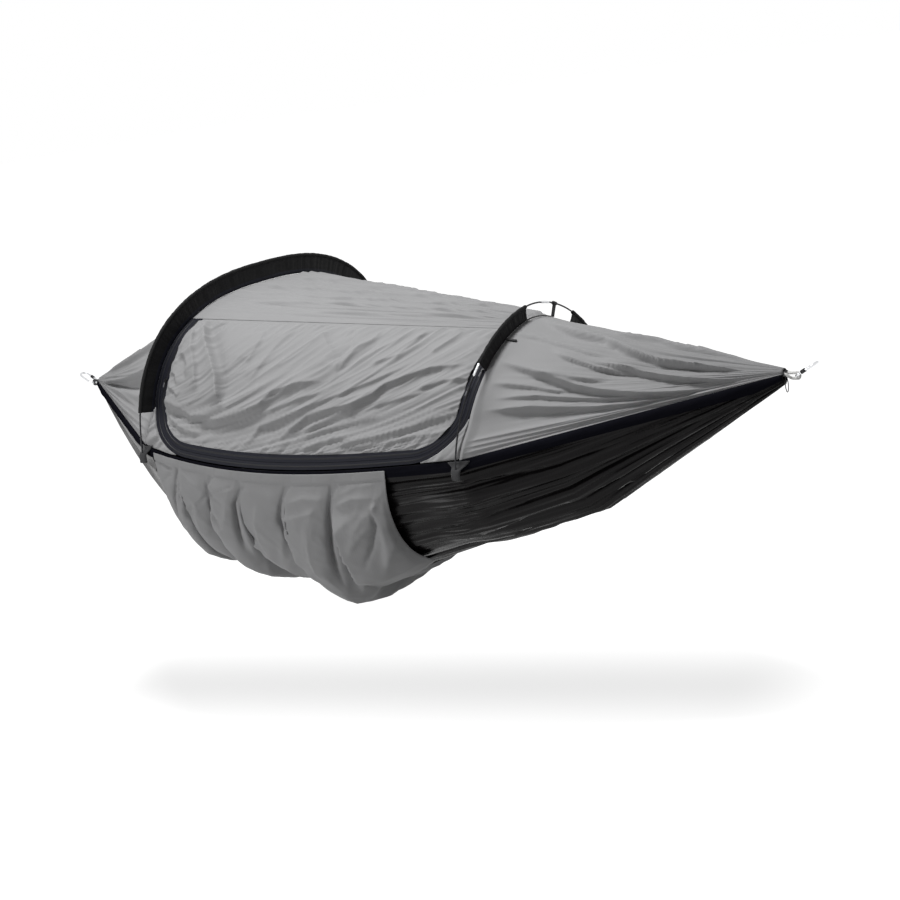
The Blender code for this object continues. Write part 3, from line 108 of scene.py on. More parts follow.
BOW_LENGTH = CARABINER_LENGTH - CARABINER_ROD
HANG_REACH = BOW_LENGTH - CARABINER_ROD - ROPE - LINK_GAP
HEAD_END = Vector((HANG_REACH * math.cos(HANG_TILT), 0, -HANG_REACH * math.sin(HANG_TILT)))
FOOT_END = HEAD_END + Vector((FABRIC_LENGTH, 0, 0))
CHORD_Z = HEAD_END.z
CLOTH_HEAD_X = HEAD_END.x + CLOTH_STOPS_SHORT
CLOTH_FOOT_X = FOOT_END.x - CLOTH_STOPS_SHORT
NEAR, FAR = 1.0, -1.0
TABLE_STEPS = 240
# The sides of a grid of cloth that its relief may stand on
UP, DOWN, ACROSS = (0, 0, 1), (0, 0, -1), (0, 1, 0)


def blend(low, high, share):
    return low + (high - low) * share


def ease(share):
    share = np.clip(share, 0.0, 1.0)
    return share * share * (3 - 2 * share)


def spread(low, high, count):
    return [blend(low, high, i / count) for i in range(count + 1)]


# The arches and the cloth lines that run inside them
class Arch:
    """A bent pole in a leaning plane, and the cloth line that runs inside it."""

    def __init__(self, x, half, rise, drop, power, lean, web, joints):
        self.x, self.half, self.rise, self.power, self.web, self.joints = x, half, rise, power, web, joints
        self.foot_z = CHORD_Z - drop
        self.slope = math.tan(lean)
        self.normal = Vector((math.cos(lean), 0, -math.sin(lean)))

    def point(self, turn, inset=0.0):
        c, s = math.cos(turn), math.sin(turn)
        sign = math.copysign(1.0, c)
        across = -self.half * sign * abs(c) ** (2 / self.power)
        height = self.rise * abs(s) ** (2 / self.power)
        lean_out = 2 * (self.power - 1) / self.power
        inward = Vector((sign * abs(c) ** lean_out / self.half, -abs(s) ** lean_out / self.rise)).normalized()
        across += inset * inward.x
        height += inset * inward.y
        return Vector((self.x + height * self.slope, across, self.foot_z + height))

    def inward(self, turn):
        return (self.point(turn, self.web) - self.point(turn)).normalized()

    def turn_at_height(self, height):
        return math.asin((height / self.rise) ** (self.power / 2))

    def inset(self, turn):
        height = self.rise * abs(math.sin(turn)) ** (2 / self.power)
        return blend(HEM_INSIDE_POLE, self.web, float(ease((height - HEM_ABOVE_POLE_FOOT) / WEB_FLARE)))

    def cloth(self, turn):
        return self.point(turn, self.inset(turn))

    def hem_turn(self):
        low, high = 0.0, math.pi / 2
        for _ in range(40):
            middle = (low + high) / 2
            if self.cloth(middle).z - self.foot_z < HEM_ABOVE_POLE_FOOT:
                low = middle
            else:
                high = middle
        return (low + high) / 2

    def table(self, turn_from, turn_to):
        turns = np.linspace(turn_from, turn_to, TABLE_STEPS + 1)
        points = np.array([self.cloth(turn) for turn in turns])
        steps = np.linalg.norm(np.diff(points, axis=0), axis=1)
        return turns, np.concatenate([[0.0], np.cumsum(steps)])

    def per_metre(self, turn, step=0.001):
        return 2 * step / (self.point(turn + step) - self.point(turn - step)).length


def turn_at(table, share):
    return float(np.interp(np.clip(share, 0.0, 1.0) * table[1][-1], table[1], table[0]))


HEAD_ARCH = Arch(HEAD_END.x + 0.89, 0.606, 0.489, 0.103, 2.55, math.radians(6.0), HEAD_WEB, HEAD_JOINTS)
FOOT_ARCH = Arch(FOOT_END.x - 0.869, 0.411, 0.399, 0.186, 1.86, math.radians(6.3), FOOT_WEB, FOOT_JOINTS)
HEAD_WALL = HEAD_ARCH.table(HEAD_ARCH.hem_turn(), HEAD_SEAM_TURN)
FOOT_WALL = FOOT_ARCH.table(FOOT_ARCH.hem_turn(), FOOT_SEAM_TURN)
HEM_HEAD = HEAD_ARCH.cloth(HEAD_ARCH.hem_turn())
HEM_FOOT = FOOT_ARCH.cloth(FOOT_ARCH.hem_turn())
WALL_LENGTH = (HEM_FOOT - HEM_HEAD).length
HEAD_WALL_HEIGHT, FOOT_WALL_HEIGHT = HEAD_WALL[1][-1], FOOT_WALL[1][-1]


# The wall between the arches
def droop(share):
    return math.sin(math.pi * min(1.0, max(0.0, share)) ** HEM_SAG_SKEW)


def wall_point(along, up, side=NEAR):
    point = blend(HEAD_ARCH.cloth(turn_at(HEAD_WALL, up)), FOOT_ARCH.cloth(turn_at(FOOT_WALL, up)), along)
    point += Vector((0, -HEM_BULGE, -HEM_SAG)) * droop(along) * (1 - min(1.0, max(0.0, up))) ** HEM_SAG_FADE
    return Vector((point.x, side * point.y, point.z))


def wall_normal(along, up, step=0.01):
    a, b = min(1.0, along + step), max(0.0, along - step)
    c, d = min(1.0, up + step), max(0.0, up - step)
    level, upwards = wall_point(a, up) - wall_point(b, up), wall_point(along, c) - wall_point(along, d)
    return level.cross(upwards).normalized()


def on_wall(x, height, out=0.0):
    """A point of the near wall: x metres from the head arch, height metres above the hem."""
    along = x / WALL_LENGTH
    up = height / blend(HEAD_WALL_HEIGHT, FOOT_WALL_HEIGHT, along)
    point = wall_point(along, up)
    return point + wall_normal(along, up) * out if out else point


# The hammock under the hem
def hem(x, side=NEAR):
    """The hammock's upper edge: straight from the arches to both gathered ends, slack between the arches."""
    if x <= HEM_HEAD.x:
        share = (x - CLOTH_HEAD_X) / (HEM_HEAD.x - CLOTH_HEAD_X)
        low, high = Vector((CLOTH_HEAD_X, -END_HALF, CHORD_Z)), HEM_HEAD
    elif x >= HEM_FOOT.x:
        share = (x - HEM_FOOT.x) / (CLOTH_FOOT_X - HEM_FOOT.x)
        low, high = HEM_FOOT, Vector((CLOTH_FOOT_X, -END_HALF, CHORD_Z))
    else:
        share, low, high = (x - HEM_HEAD.x) / (HEM_FOOT.x - HEM_HEAD.x), HEM_HEAD, HEM_FOOT
    point = blend(low, high, share)
    if HEM_HEAD.x < x < HEM_FOOT.x:
        point += Vector((0, -HEM_BULGE, -HEM_SAG)) * droop(share)
    return Vector((point.x, side * point.y, point.z))


def bottom_z(x):
    share = (x - HEAD_END.x) / FABRIC_LENGTH
    spots = BOTTOM_SHARES
    i = next((i for i in range(len(spots) - 1) if share <= spots[i + 1][0]), len(spots) - 2)
    (a, low), (b, high) = spots[i], spots[i + 1]
    t = (share - a) / (b - a)
    if a >= STRAIGHT_FROM_SHARE:
        return CHORD_Z - blend(low, high, t) * HAMMOCK_DEPTH
    before = (high - spots[i - 1][1]) / (b - spots[i - 1][0]) if i else (high - low) / (b - a)
    after = (spots[i + 2][1] - low) / (spots[i + 2][0] - a)
    depth = (2 * t**3 - 3 * t**2 + 1) * low + (t**3 - 2 * t**2 + t) * (b - a) * before
    depth += (3 * t**2 - 2 * t**3) * high + (t**3 - t**2) * (b - a) * after
    return CHORD_Z - depth * HAMMOCK_DEPTH


def section_power(x):
    """How square the hammock's section is: rounder near both ends, and where it tapers to the head."""
    away = min(x - CLOTH_HEAD_X, CLOTH_FOOT_X - x)
    power = blend(END_SECTION_POWER, SECTION_POWER, float(ease(away / FOLD_FADES_OVER)))
    return blend(power, min(power, HEAD_SECTION_POWER), float(ease((1.60 - x) / 0.5)))


def shell(x, turn, out=0.0):
    """A point of the hammock: turn 0 at the near hem, pi at the far hem, moved outwards by out."""
    edge = hem(x)
    half, deep = -edge.y, max(END_DEPTH, edge.z - bottom_z(x))
    power = section_power(x)
    c, s = math.cos(turn), math.sin(turn)
    sign = math.copysign(1.0, c)
    lean_out = 2 * (power - 1) / power
    normal = Vector((0, -sign * abs(c) ** lean_out / half, -abs(s) ** lean_out / deep)).normalized()
    point = Vector((x, -half * sign * abs(c) ** (2 / power), edge.z - deep * abs(s) ** (2 / power)))
    return point + normal * out


# The looks of cloth: smooth seeded noise, creases and gathers, all in metres
def noise(u, v, size_u, size_v, seed):
    """Smooth noise from -1 to 1 over two coordinates, with its own lattice for each seed."""
    lattice = np.random.default_rng(seed).uniform(-1, 1, (64, 64))
    a, b = u / size_u + 1000, v / size_v + 1000
    i, j = np.floor(a).astype(int), np.floor(b).astype(int)
    s, t = ease(a - i), ease(b - j)
    low = lattice[i % 64, j % 64] * (1 - s) + lattice[(i + 1) % 64, j % 64] * s
    high = lattice[i % 64, (j + 1) % 64] * (1 - s) + lattice[(i + 1) % 64, (j + 1) % 64] * s
    return low * (1 - t) + high * t


def wander(u, v, size_u, size_v, seed):
    """Three octaves of noise, each half the size of the one before."""
    return sum(noise(u, v, size_u / 2**k, size_v / 2**k, seed + k) / 2**k for k in range(3))


def along_path(u, v, path):
    """For each place: its distance from a line of (u, v) points, and its share of the line and run along it.

    The distance is positive on the line's left.
    """
    path = np.array(path, float)
    steps = np.linalg.norm(np.diff(path, axis=0), axis=1)
    before = np.concatenate([[0.0], np.cumsum(steps)])
    best, signed, run = np.full(u.shape, np.inf), np.zeros(u.shape), np.zeros(u.shape)
    for k, step in enumerate(steps):
        way = (path[k + 1] - path[k]) / step
        du, dv = u - path[k, 0], v - path[k, 1]
        along = np.clip(du * way[0] + dv * way[1], 0, step)
        off_u, off_v = du - along * way[0], dv - along * way[1]
        gap = np.hypot(off_u, off_v)
        side = np.sign(way[0] * off_v - way[1] * off_u)
        nearer = gap < best
        best, signed = np.where(nearer, gap, best), np.where(nearer, side * gap, signed)
        run = np.where(nearer, before[k] + along, run)
    return signed, run / before[-1], run


def faded(share, start, end):
    """1 along a line, easing to 0 over its first and last shares."""
    return (ease(share / start) if start else 1.0) * (ease((1 - share) / end) if end else 1.0)


def streaks(s, t, pitch, run, seed):
    """Tight folds of a pulled cloth, 0 to 1: thin crests that run along t, a pitch apart across s."""
    return (1 - np.minimum(np.abs(wander(s, t, pitch, run, seed)) * 1.3, 1.0)) ** 2


# A crease's section, in its widths: how round its crest is, how far its gentle side, its steep side and its
# trough reach, and the trough's depth as a share of the crest's height
CREST_ROUND, GENTLE_REACH, STEEP_REACH, TROUGH_REACH, TROUGH_SHARE = 0.12, 1.4, 0.7, 1.2, 0.7


def crease(u, v, path, width, height, tail=2.5, start=0.15, end=0.20):
    """A fold along a line: from the line's left it rises gently to a crisp crest, then drops to a trough."""
    signed, share, _ = along_path(u, v, path)
    away = np.hypot(signed, CREST_ROUND * width)
    gentle = np.exp(-away / (GENTLE_REACH * tail * width))
    crest = (1 + TROUGH_SHARE) * np.exp(-away / (STEEP_REACH * width))
    steep = crest - TROUGH_SHARE * np.exp(-away / (TROUGH_REACH * tail * width))
    return height * faded(share, start, end) * np.where(signed > 0, gentle, steep)


def pinch(u, v, path, width, height, start=0.1, end=0.4):
    """A crisp ridge along a line, or where cloth is nipped in a crisp groove to take away."""
    signed, share, _ = along_path(u, v, path)
    return height * faded(share, start, end) * np.exp(-np.sqrt(signed**2 + (0.15 * width) ** 2) / width)


def ruche(u, v, path, pitch, reach, height, seed):
    """Small gathers across a line of stitches that has drawn the cloth up."""
    signed, share, run = along_path(u, v, path)
    gathers = noise(run, np.zeros_like(run), pitch, 1.0, seed)
    return height * gathers * np.exp(-np.abs(signed) / reach) * faded(share, 0.1, 0.1)


def tight_folds(s, t, sets):
    """Streaks of several sizes on top of one another, each set of a height, a pitch, a run and a seed."""
    return sum(height * streaks(s, t, pitch, run, seed) for height, pitch, run, seed in sets)


def stretched(line, long, wide):
    """A line of shares along and across, in metres."""
    return [(along * long, across * wide) for along, across in line]


def flattened(depth, most):
    """The depth with its crests drawn smoothly under a greatest height."""
    return np.where(depth > 0, most * np.tanh(depth / most), depth)


# Grids of points
def over_grid(rows, columns):
    """The rows' values and the columns' values, each over the whole grid."""
    return np.meshgrid(rows, columns, indexing="ij")


def from_edge(share):
    """How far a share lies from the nearer of 0 and 1."""
    return np.minimum(share, 1 - share)


def normals_of(points):
    """The normals of a grid of points, pointing as its rows and columns turn."""
    normals = np.cross(np.gradient(points, axis=0), np.gradient(points, axis=1))
    return normals / np.maximum(np.linalg.norm(normals, axis=2, keepdims=True), 1e-12)


def raised(base, depth, outwards):
    """The grid of points moved by depth along its normals, towards the side that outwards gives."""
    normals = normals_of(base)
    sign = math.copysign(1.0, (normals * outwards).sum(axis=2).mean())
    return base + normals * depth[..., None] * sign


def wall_grid(xs, heights, out=0.0):
    """The points of the near wall over a grid of flat places."""
    return np.array([[on_wall(x, height, out) for x, height in zip(*rows)] for rows in zip(xs, heights)])


# Making objects
def placed(name, mesh, looks):
    """An object of the mesh in the scene, smooth, with its materials."""
    for look in looks:
        mesh.materials.append(look)
    mesh.polygons.foreach_set("use_smooth", [True] * len(mesh.polygons))
    obj = bpy.data.objects.new(name, mesh)
    bpy.context.scene.collection.objects.link(obj)
    return obj


def new_object(name, vertices, faces, looks, uvs=None, kinds=None):
    """An object of vertices and faces, with each vertex's flat place and each face's material where given."""
    mesh = bpy.data.meshes.new(name)
    mesh.from_pydata([tuple(map(float, point)) for point in vertices], [], faces)
    obj = placed(name, mesh, looks)
    if kinds is not None:
        mesh.polygons.foreach_set("material_index", kinds)
    if uvs is not None:
        layer = mesh.uv_layers.new(name="cloth")
        loops = np.empty(len(mesh.loops), np.int32)
        mesh.loops.foreach_get("vertex_index", loops)
        layer.data.foreach_set("uv", np.asarray(uvs, np.float32)[loops].ravel())
    return obj


def grid_faces(rows, columns, closed=False, ring=False):
    """Four-sided faces over a grid; closed joins its last column to the first, and ring its last row."""
    faces = []
    for i in range(rows if ring else rows - 1):
        low, high = i * columns, (i + 1) % rows * columns
        for j in range(columns if closed else columns - 1):
            k = (j + 1) % columns
            faces.append((low + j, low + k, high + k, high + j))
    return faces


def cloth(name, points, u, v, look, thickness):
    """A panel of cloth on a grid of points, with its flat coordinates in metres, thick about its middle."""
    uvs = np.stack([u.ravel(), v.ravel()], axis=1)
    obj = new_object(name, points.reshape(-1, 3), grid_faces(*points.shape[:2]), [look], uvs)
    solid = obj.modifiers.new("thickness", "SOLIDIFY")
    solid.thickness = thickness
    solid.offset = 0.0
    return obj


def tube(name, path, radius, sides, looks, closed=False, up=None, swell=None):
    """A round bar along a path, domed at its ends unless closed; swell is each place's share of radius."""
    path = [Vector(point) for point in path]
    count = len(path)
    sections, uvs, run = [], [], 0.0
    side = None
    for i, point in enumerate(path):
        before = path[i - 1] if i or closed else point
        after = path[(i + 1) % count] if i < count - 1 or closed else point
        way = (after - before).normalized()
        if side is None:
            side = way.cross(up or Vector((0, 0, 1)))
            if side.length < 0.1:
                side = way.cross(Vector((0, 1, 0)))
        side = (side - way * side.dot(way)).normalized()
        other = way.cross(side)
        run += (point - before).length if i else 0.0
        here = radius * (swell[i] if swell else 1.0)
        ring = []
        for k in range(sides):
            turn = 2 * math.pi * k / sides
            ring.append(point + (side * math.cos(turn) + other * math.sin(turn)) * here)
            uvs.append((run, k / sides * 2 * math.pi * radius))
        sections.append((ring, way, point, here))
    vertices = [spot for ring, *_ in sections for spot in ring]
    faces = grid_faces(count, sides, True, closed)
    ends = () if closed else ((False, sections[0]), (True, sections[-1]))
    for at_end, (ring, way, point, here) in ends:
        sign = 1 if at_end else -1
        base = (count - 1) * sides if at_end else 0
        inner = len(vertices)
        vertices += [point + (spot - point) * 0.7 + way * (sign * here * 0.55) for spot in ring]
        vertices.append(point + way * (sign * here * 0.8))
        uvs += [(run, 0.0)] * (sides + 1)
        for k in range(sides):
            j = (k + 1) % sides
            if at_end:
                faces += [(base + k, base + j, inner + j, inner + k), (inner + k, inner + j, inner + sides)]
            else:
                faces += [(base + j, base + k, inner + k, inner + j), (inner + j, inner + k, inner + sides)]
    return new_object(name, vertices, faces, looks, uvs)


def swept(name, sections, looks, kinds=None, uvs=None):
    """A closed section carried along a path, capped at both ends."""
    count = len(sections[0])
    vertices = [spot for section in sections for spot in section]
    faces = grid_faces(len(sections), count, True)
    faces.append(tuple(reversed(range(count))))
    faces.append(tuple(range(len(vertices) - count, len(vertices))))
    if kinds is not None:
        kinds = list(kinds) * (len(sections) - 1) + [kinds[0], kinds[0]]
    obj = new_object(name, vertices, faces, looks, uvs, kinds)
    tidy_normals(obj)
    return obj


def tidy_normals(obj):
    shape = bmesh.new()
    shape.from_mesh(obj.data)
    bmesh.ops.recalc_face_normals(shape, faces=shape.faces)
    shape.to_mesh(obj.data)
    shape.free()


def rounded_block(name, size, place, offset, look, edge):
    """A block with rounded edges, its middle at an offset in a frame."""
    mesh = bpy.data.meshes.new(name)
    shape = bmesh.new()
    bmesh.ops.create_cube(shape, size=1.0, matrix=Matrix.Diagonal((*size, 1.0)))
    bmesh.ops.bevel(shape, geom=shape.edges[:], offset=edge, segments=3, profile=0.5, affect="EDGES")
    shape.transform(place @ Matrix.Translation(offset))
    shape.to_mesh(mesh)
    shape.free()
    return placed(name, mesh, [look])


def joined(name, objects):
    """One object of several, in the order given."""
    shape = bmesh.new()
    looks = []
    for obj in objects:
        part = bmesh.new()
        part.from_mesh(obj.data)
        looks += [look for look in obj.data.materials if look not in looks]
        shift = [looks.index(look) for look in obj.data.materials]
        for face in part.faces:
            face.material_index = shift[face.material_index]
        carried = bpy.data.meshes.new("carried")
        part.to_mesh(carried)
        part.free()
        shape.from_mesh(carried)
        bpy.data.meshes.remove(carried)
        bpy.data.objects.remove(obj)
    mesh = bpy.data.meshes.new(name)
    shape.to_mesh(mesh)
    shape.free()
    return placed(name, mesh, looks)


def frame_of(origin, along, normal):
    """A frame at origin with X along, Z near normal and Y across."""
    x = along.normalized()
    y = normal.cross(x).normalized()
    z = x.cross(y)
    return Matrix.Translation(origin) @ Matrix((x, y, z)).transposed().to_4x4()


# Materials
def linear(hex_colour):
    """A colour from its sRGB hex value, as linear red, green, blue and 1."""
    parts = [int(hex_colour[i:i + 2], 16) / 255 for i in (1, 3, 5)]
    return (*(part / 12.92 if part <= 0.04045 else ((part + 0.055) / 1.055) ** 2.4 for part in parts), 1.0)


def add(tree, kind, inputs=None, **settings):
    """Adds a shader node with its settings; an input is a value, or the output or node that links to it."""
    made = tree.nodes.new("ShaderNode" + kind)
    for key, value in settings.items():
        setattr(made, key, value)
    for key, value in (inputs or {}).items():
        if isinstance(value, bpy.types.Node):
            value = value.outputs[0]
        if isinstance(value, bpy.types.NodeSocket):
            tree.links.new(value, made.inputs[key])
        else:
            made.inputs[key].default_value = value
    return made


def material(name, finish, *values, **more):
    """The material of this name, made when it is first asked for, with the shader that its finish builds."""
    made = bpy.data.materials.get(name)
    if made is None:
        made = bpy.data.materials.new(name)
        made.use_nodes = True
        made.node_tree.nodes.clear()
        shader = finish(made.node_tree, *values, **more)
        add(made.node_tree, "OutputMaterial", {"Surface": shader})
    return made


# A Wave texture repeats every 2 pi / 20 of its scaled coordinate
WAVE_PERIOD = 2 * math.pi / 20
THREAD_DEPTH = 0.0002


def woven(tree, colour, thread, roughness, sheen, mottle=0.10, shine="#ffffff", gloss=0.35, pull=0.0):
    """Woven cloth: crossing threads with painted shade between them, a slight change of tone over the cloth,
    and a nap that catches light.

    Real threads lie some 0.3 mm apart. They are drawn coarser, so that they show.
    """
    flat = add(tree, "UVMap", uv_map="cloth")
    wave = {"Vector": flat, "Scale": WAVE_PERIOD / thread, "Distortion": 0.6, "Detail": 1.0}
    warp, weft = (add(tree, "TexWave", wave, bands_direction=way).outputs["Fac"] for way in ("X", "Y"))
    threads = add(tree, "Math", {0: warp, 1: weft}, operation="MULTIPLY")
    place = add(tree, "TexCoord").outputs["Object"]
    clouds = add(tree, "TexNoise", {"Vector": place, "Scale": 7.0, "Detail": 4.0, "Roughness": 0.55})
    slubs = add(tree, "TexNoise", {"Vector": place, "Scale": 160.0, "Detail": 3.0, "Roughness": 0.6})
    shade = add(tree, "Math", {0: clouds, 1: slubs}, operation="ADD")
    level = add(tree, "MapRange", {"Value": shade, "From Min": 0.6, "From Max": 1.4,
                                   "To Min": 1 - mottle, "To Max": 1 + mottle})
    # Painted shade: the colour is slightly darker where the threads' bump is low, in the grooves between them
    dark = add(tree, "MapRange", {"Value": threads, "To Min": 0.96, "To Max": 1.02})
    both = add(tree, "Math", {0: level, 1: dark}, operation="MULTIPLY")
    tint = add(tree, "VectorMath", {0: colour[:3], "Scale": both}, operation="SCALE")
    rough = add(tree, "MapRange", {"Value": slubs, "From Min": 0.3, "From Max": 0.7,
                                   "To Min": roughness - 0.06, "To Max": roughness + 0.06})
    relief = add(tree, "Math", {0: threads, 1: slubs}, operation="ADD")
    bump = add(tree, "Bump", {"Height": relief, "Strength": 0.5, "Distance": THREAD_DEPTH})
    if pull:
        # Cloth under strain has finer folds than its mesh: they run its length, pull metres high
        drawn = add(tree, "Mapping", {"Vector": flat, "Scale": (0.6, 17.0, 1.0)})
        lines = add(tree, "TexNoise", {"Vector": drawn, "Scale": 1.0, "Detail": 2.0, "Roughness": 0.5})
        bump = add(tree, "Bump", {"Height": lines, "Strength": 1.0, "Distance": pull, "Normal": bump})
    return add(tree, "BsdfPrincipled", {
        "Base Color": tint, "Roughness": rough, "Normal": bump, "Specular IOR Level": gloss,
        "Sheen Weight": sheen, "Sheen Roughness": 0.45, "Sheen Tint": linear(shine),
    })


def ribbed(tree, colour, rib, roughness, depth):
    """Webbing or moulded rubber: a grain, and ribs across, drawn coarser than real so that they show."""
    place = add(tree, "TexCoord").outputs["Object"]
    wave = {"Vector": place, "Scale": WAVE_PERIOD / rib, "Distortion": 0.4}
    ribs = add(tree, "TexWave", wave, bands_direction="Z").outputs["Fac"]
    grain = add(tree, "TexNoise", {"Vector": place, "Scale": 220.0, "Detail": 3.0})
    level = add(tree, "MapRange", {"Value": grain, "From Min": 0.3, "From Max": 0.7,
                                   "To Min": 0.82, "To Max": 1.18})
    tint = add(tree, "VectorMath", {0: colour[:3], "Scale": level}, operation="SCALE")
    relief = add(tree, "Math", {0: ribs, 1: grain}, operation="ADD")
    bump = add(tree, "Bump", {"Height": relief, "Strength": 0.6, "Distance": depth})
    return add(tree, "BsdfPrincipled", {
        "Base Color": tint, "Roughness": roughness, "Normal": bump,
        "Sheen Weight": 0.10, "Sheen Roughness": 0.5, "Specular IOR Level": 0.4,
    })


def braided(tree, colour, pitch, roughness, depth):
    """Braided cord: two sets of strands that cross round it, drawn coarser than real so that they show, with
    painted shade in the grooves between them.
    """
    flat = add(tree, "UVMap", uv_map="cloth")
    waves = []
    for turn in (math.radians(40), math.radians(-40)):
        laid = add(tree, "Mapping", {"Vector": flat, "Rotation": (0, 0, turn)})
        waves.append(add(tree, "TexWave", {"Vector": laid, "Scale": WAVE_PERIOD / pitch}).outputs["Fac"])
    strands = add(tree, "Math", {0: waves[0], 1: waves[1]}, operation="MAXIMUM")
    # Painted shade: the colour darkens in the grooves between the strands, where the bump is lowest
    level = add(tree, "MapRange", {"Value": strands, "To Min": 0.72, "To Max": 1.05})
    tint = add(tree, "VectorMath", {0: colour[:3], "Scale": level}, operation="SCALE")
    bump = add(tree, "Bump", {"Height": strands, "Strength": 0.8, "Distance": depth})
    return add(tree, "BsdfPrincipled", {
        "Base Color": tint, "Roughness": roughness, "Normal": bump, "Sheen Weight": 0.12,
    })


def metal(tree, colour, roughness, scratch, metallic=1.0, depth=0.00005):
    """Drawn, cast or anodised metal, with faint draw lines and handling wear in its roughness."""
    place = add(tree, "TexCoord").outputs["Object"]
    wear = add(tree, "TexNoise", {"Vector": place, "Scale": 90.0, "Detail": 4.0, "Roughness": 0.6})
    lines = add(tree, "TexNoise", {"Vector": place, "Scale": scratch, "Detail": 2.0})
    rough = add(tree, "MapRange", {"Value": wear, "From Min": 0.3, "From Max": 0.7,
                                   "To Min": roughness * 0.75, "To Max": roughness * 1.3})
    level = add(tree, "MapRange", {"Value": wear, "From Min": 0.3, "From Max": 0.7,
                                   "To Min": 0.9, "To Max": 1.06})
    tint = add(tree, "VectorMath", {0: colour[:3], "Scale": level}, operation="SCALE")
    bump = add(tree, "Bump", {"Height": lines, "Strength": 0.3, "Distance": depth})
    return add(tree, "BsdfPrincipled", {
        "Base Color": tint, "Roughness": rough, "Metallic": metallic, "Normal": bump,
    })


def netting(tree, colour, hole, thread_share):
    """Insect netting: round holes in rows, drawn coarser than the real 1.2 mm ones so that they show."""
    wave = {"Vector": add(tree, "UVMap", uv_map="cloth"), "Scale": WAVE_PERIOD / hole}
    warp, weft = (add(tree, "TexWave", wave, bands_direction=way).outputs["Fac"] for way in ("X", "Y"))
    thread = add(tree, "Math", {0: warp, 1: weft}, operation="MAXIMUM")
    solid = add(tree, "MapRange", {"Value": thread, "From Min": 1 - thread_share, "From Max": 1.0,
                                   "To Min": 0.42, "To Max": 1.0})
    level = add(tree, "MapRange", {"Value": thread, "To Min": 0.8, "To Max": 1.2})
    tint = add(tree, "VectorMath", {0: colour[:3], "Scale": level}, operation="SCALE")
    return add(tree, "BsdfPrincipled", {
        "Base Color": tint, "Roughness": 0.7, "Alpha": solid, "Sheen Weight": 0.1,
    })


def looks_of(context):
    """The tent's materials, by what each is used for."""
    c = context.scene.tent_colours
    coil = [x * 0.35 for x in c.zip_tape]
    return {
        # Dyed polyester taffeta, brushed by use: matt, with a soft nap that lightens folds seen edge on
        "cover": material("woven_polyester_taffeta_grey", woven, c.cover, 0.0040, 0.78, 0.05, mottle=0.035),
        # Calendered ripstop nylon: nearly black, with a low satin gloss along its tight folds
        "hammock": material("ripstop_nylon_black", woven, c.hammock, 0.0055, 0.3, 0, mottle=0.16, gloss=0.12,
                            pull=0.040),
        # Folded nylon binding: without gloss, so that the hem stays a dark line
        "band": material("nylon_binding_navy_black", woven, c.band, 0.0035, 0.42, 0, mottle=0.14, gloss=0.0),
        # Uncoated nylon: the darkest and most even of the cloths, so that its gathers hardly show
        "sleeve": material("woven_nylon_sleeve_black", woven, c.sleeve, 0.0045, 0.7, 0, mottle=0.2,
                           gloss=0.2),
        # Tightly woven tape, whose nap gives it a bluish edge beside the coil
        "zip": material("woven_zip_tape_navy", woven, c.zip_tape, 0.0030, 0.55, 0.03, mottle=0.12,
                        shine="#c4c8e6", gloss=0.14),
        # Moulded nylon teeth: darker than the tape, with small highlights
        "coil": material("nylon_zip_coil_black", woven, coil, 0.0035, 0.45, 0.0, mottle=0.1, gloss=0.25),
        # Knitted polyester: a dark veil that lets light through its holes
        "net": material("knitted_polyester_netting_black", netting, c.net, 0.006, 0.55),
        # Woven nylon webbing: matt charcoal, ribbed across
        "webbing": material("nylon_webbing_charcoal", ribbed, c.webbing, 0.0045, 0.72, 0.0004),
        # Anodised tube: a soft dark sheen, with the metal showing through
        "pole": material("anodised_aluminium_tube_black", metal, c.pole, 0.34, 400.0, metallic=0.6),
        # Drawn tube, left bare: bright rings where the poles join
        "ferrule": material("drawn_aluminium_bright", metal, c.alloy, 0.24, 500.0),
        # Forged and tumbled: smooth, with the clearest reflections of all
        "alloy": material("forged_aluminium_polished", metal, c.alloy, 0.20, 300.0),
        # Turned steel: a small, slightly greyer glint at the gate
        "pin": material("turned_steel_pin", metal, c.steel, 0.28, 500.0),
        # Knurled and anodised: dark, its flutes broken up by fine wear
        "lock": material("knurled_aluminium_black", metal, c.pole, 0.42, 900.0, metallic=0.5, depth=0.0002),
        # Painted castings: dark, with dull highlights on their rounded edges
        "slider": material("die_cast_zinc_black_paint", metal, c.pole, 0.38, 400.0, metallic=0.3),
        # Thick soft braid: off-white, with painted shade in the grooves between its strands
        "rope": material("braided_polyester_rope_white", braided, c.rope, 0.0042, 0.65, 0.0006),
        # Thin hard braid: nearly black, with the same painted shade between its strands
        "cord": material("braided_nylon_cord_black", braided, c.cord, 0.0030, 0.70, 0.0003),
        # Moulded rubber: mid grey and matt, with ribs for the fingers
        "pull": material("moulded_rubber_pull_grey", ribbed, c.pull, 0.0040, 0.60, 0.0002),
    }


# The sizes and colours that a user would change
def length(name, description, default):
    return FloatProperty(name=name, description=description, default=default, min=0.0, unit="LENGTH",
                         precision=4)


def colour(name, description, default):
    return FloatVectorProperty(name=name, description=description, default=linear(default), size=4,
                               subtype="COLOR", min=0, max=1)


class TentSizes(bpy.types.PropertyGroup):
    cloth: length("Cloth", "Thickness of the cover and hammock cloth", 0.0009)
    cover_fold: length("Cover folds", "Height of the long folds in the end covers", 0.014)
    hammock_fold: length("Hammock folds", "Height of the long folds in the hammock", 0.012)
    door_crease: length("Door creases", "Height of the creases across the door", 0.0055)
    roof_crease: length("Roof creases", "Height of the long creases in the roof", 0.0030)
    pouch_pleat: length("Pouch pleats", "Height of the small pleats under the pouch's band", 0.0060)
    sleeve_gather: length("Sleeve gathers", "Height of the gathers across the pole sleeves", 0.0016)
    fineness: IntProperty(name="Fineness", description="Divisions along the longest cloth", default=210,
                          min=40, max=400)


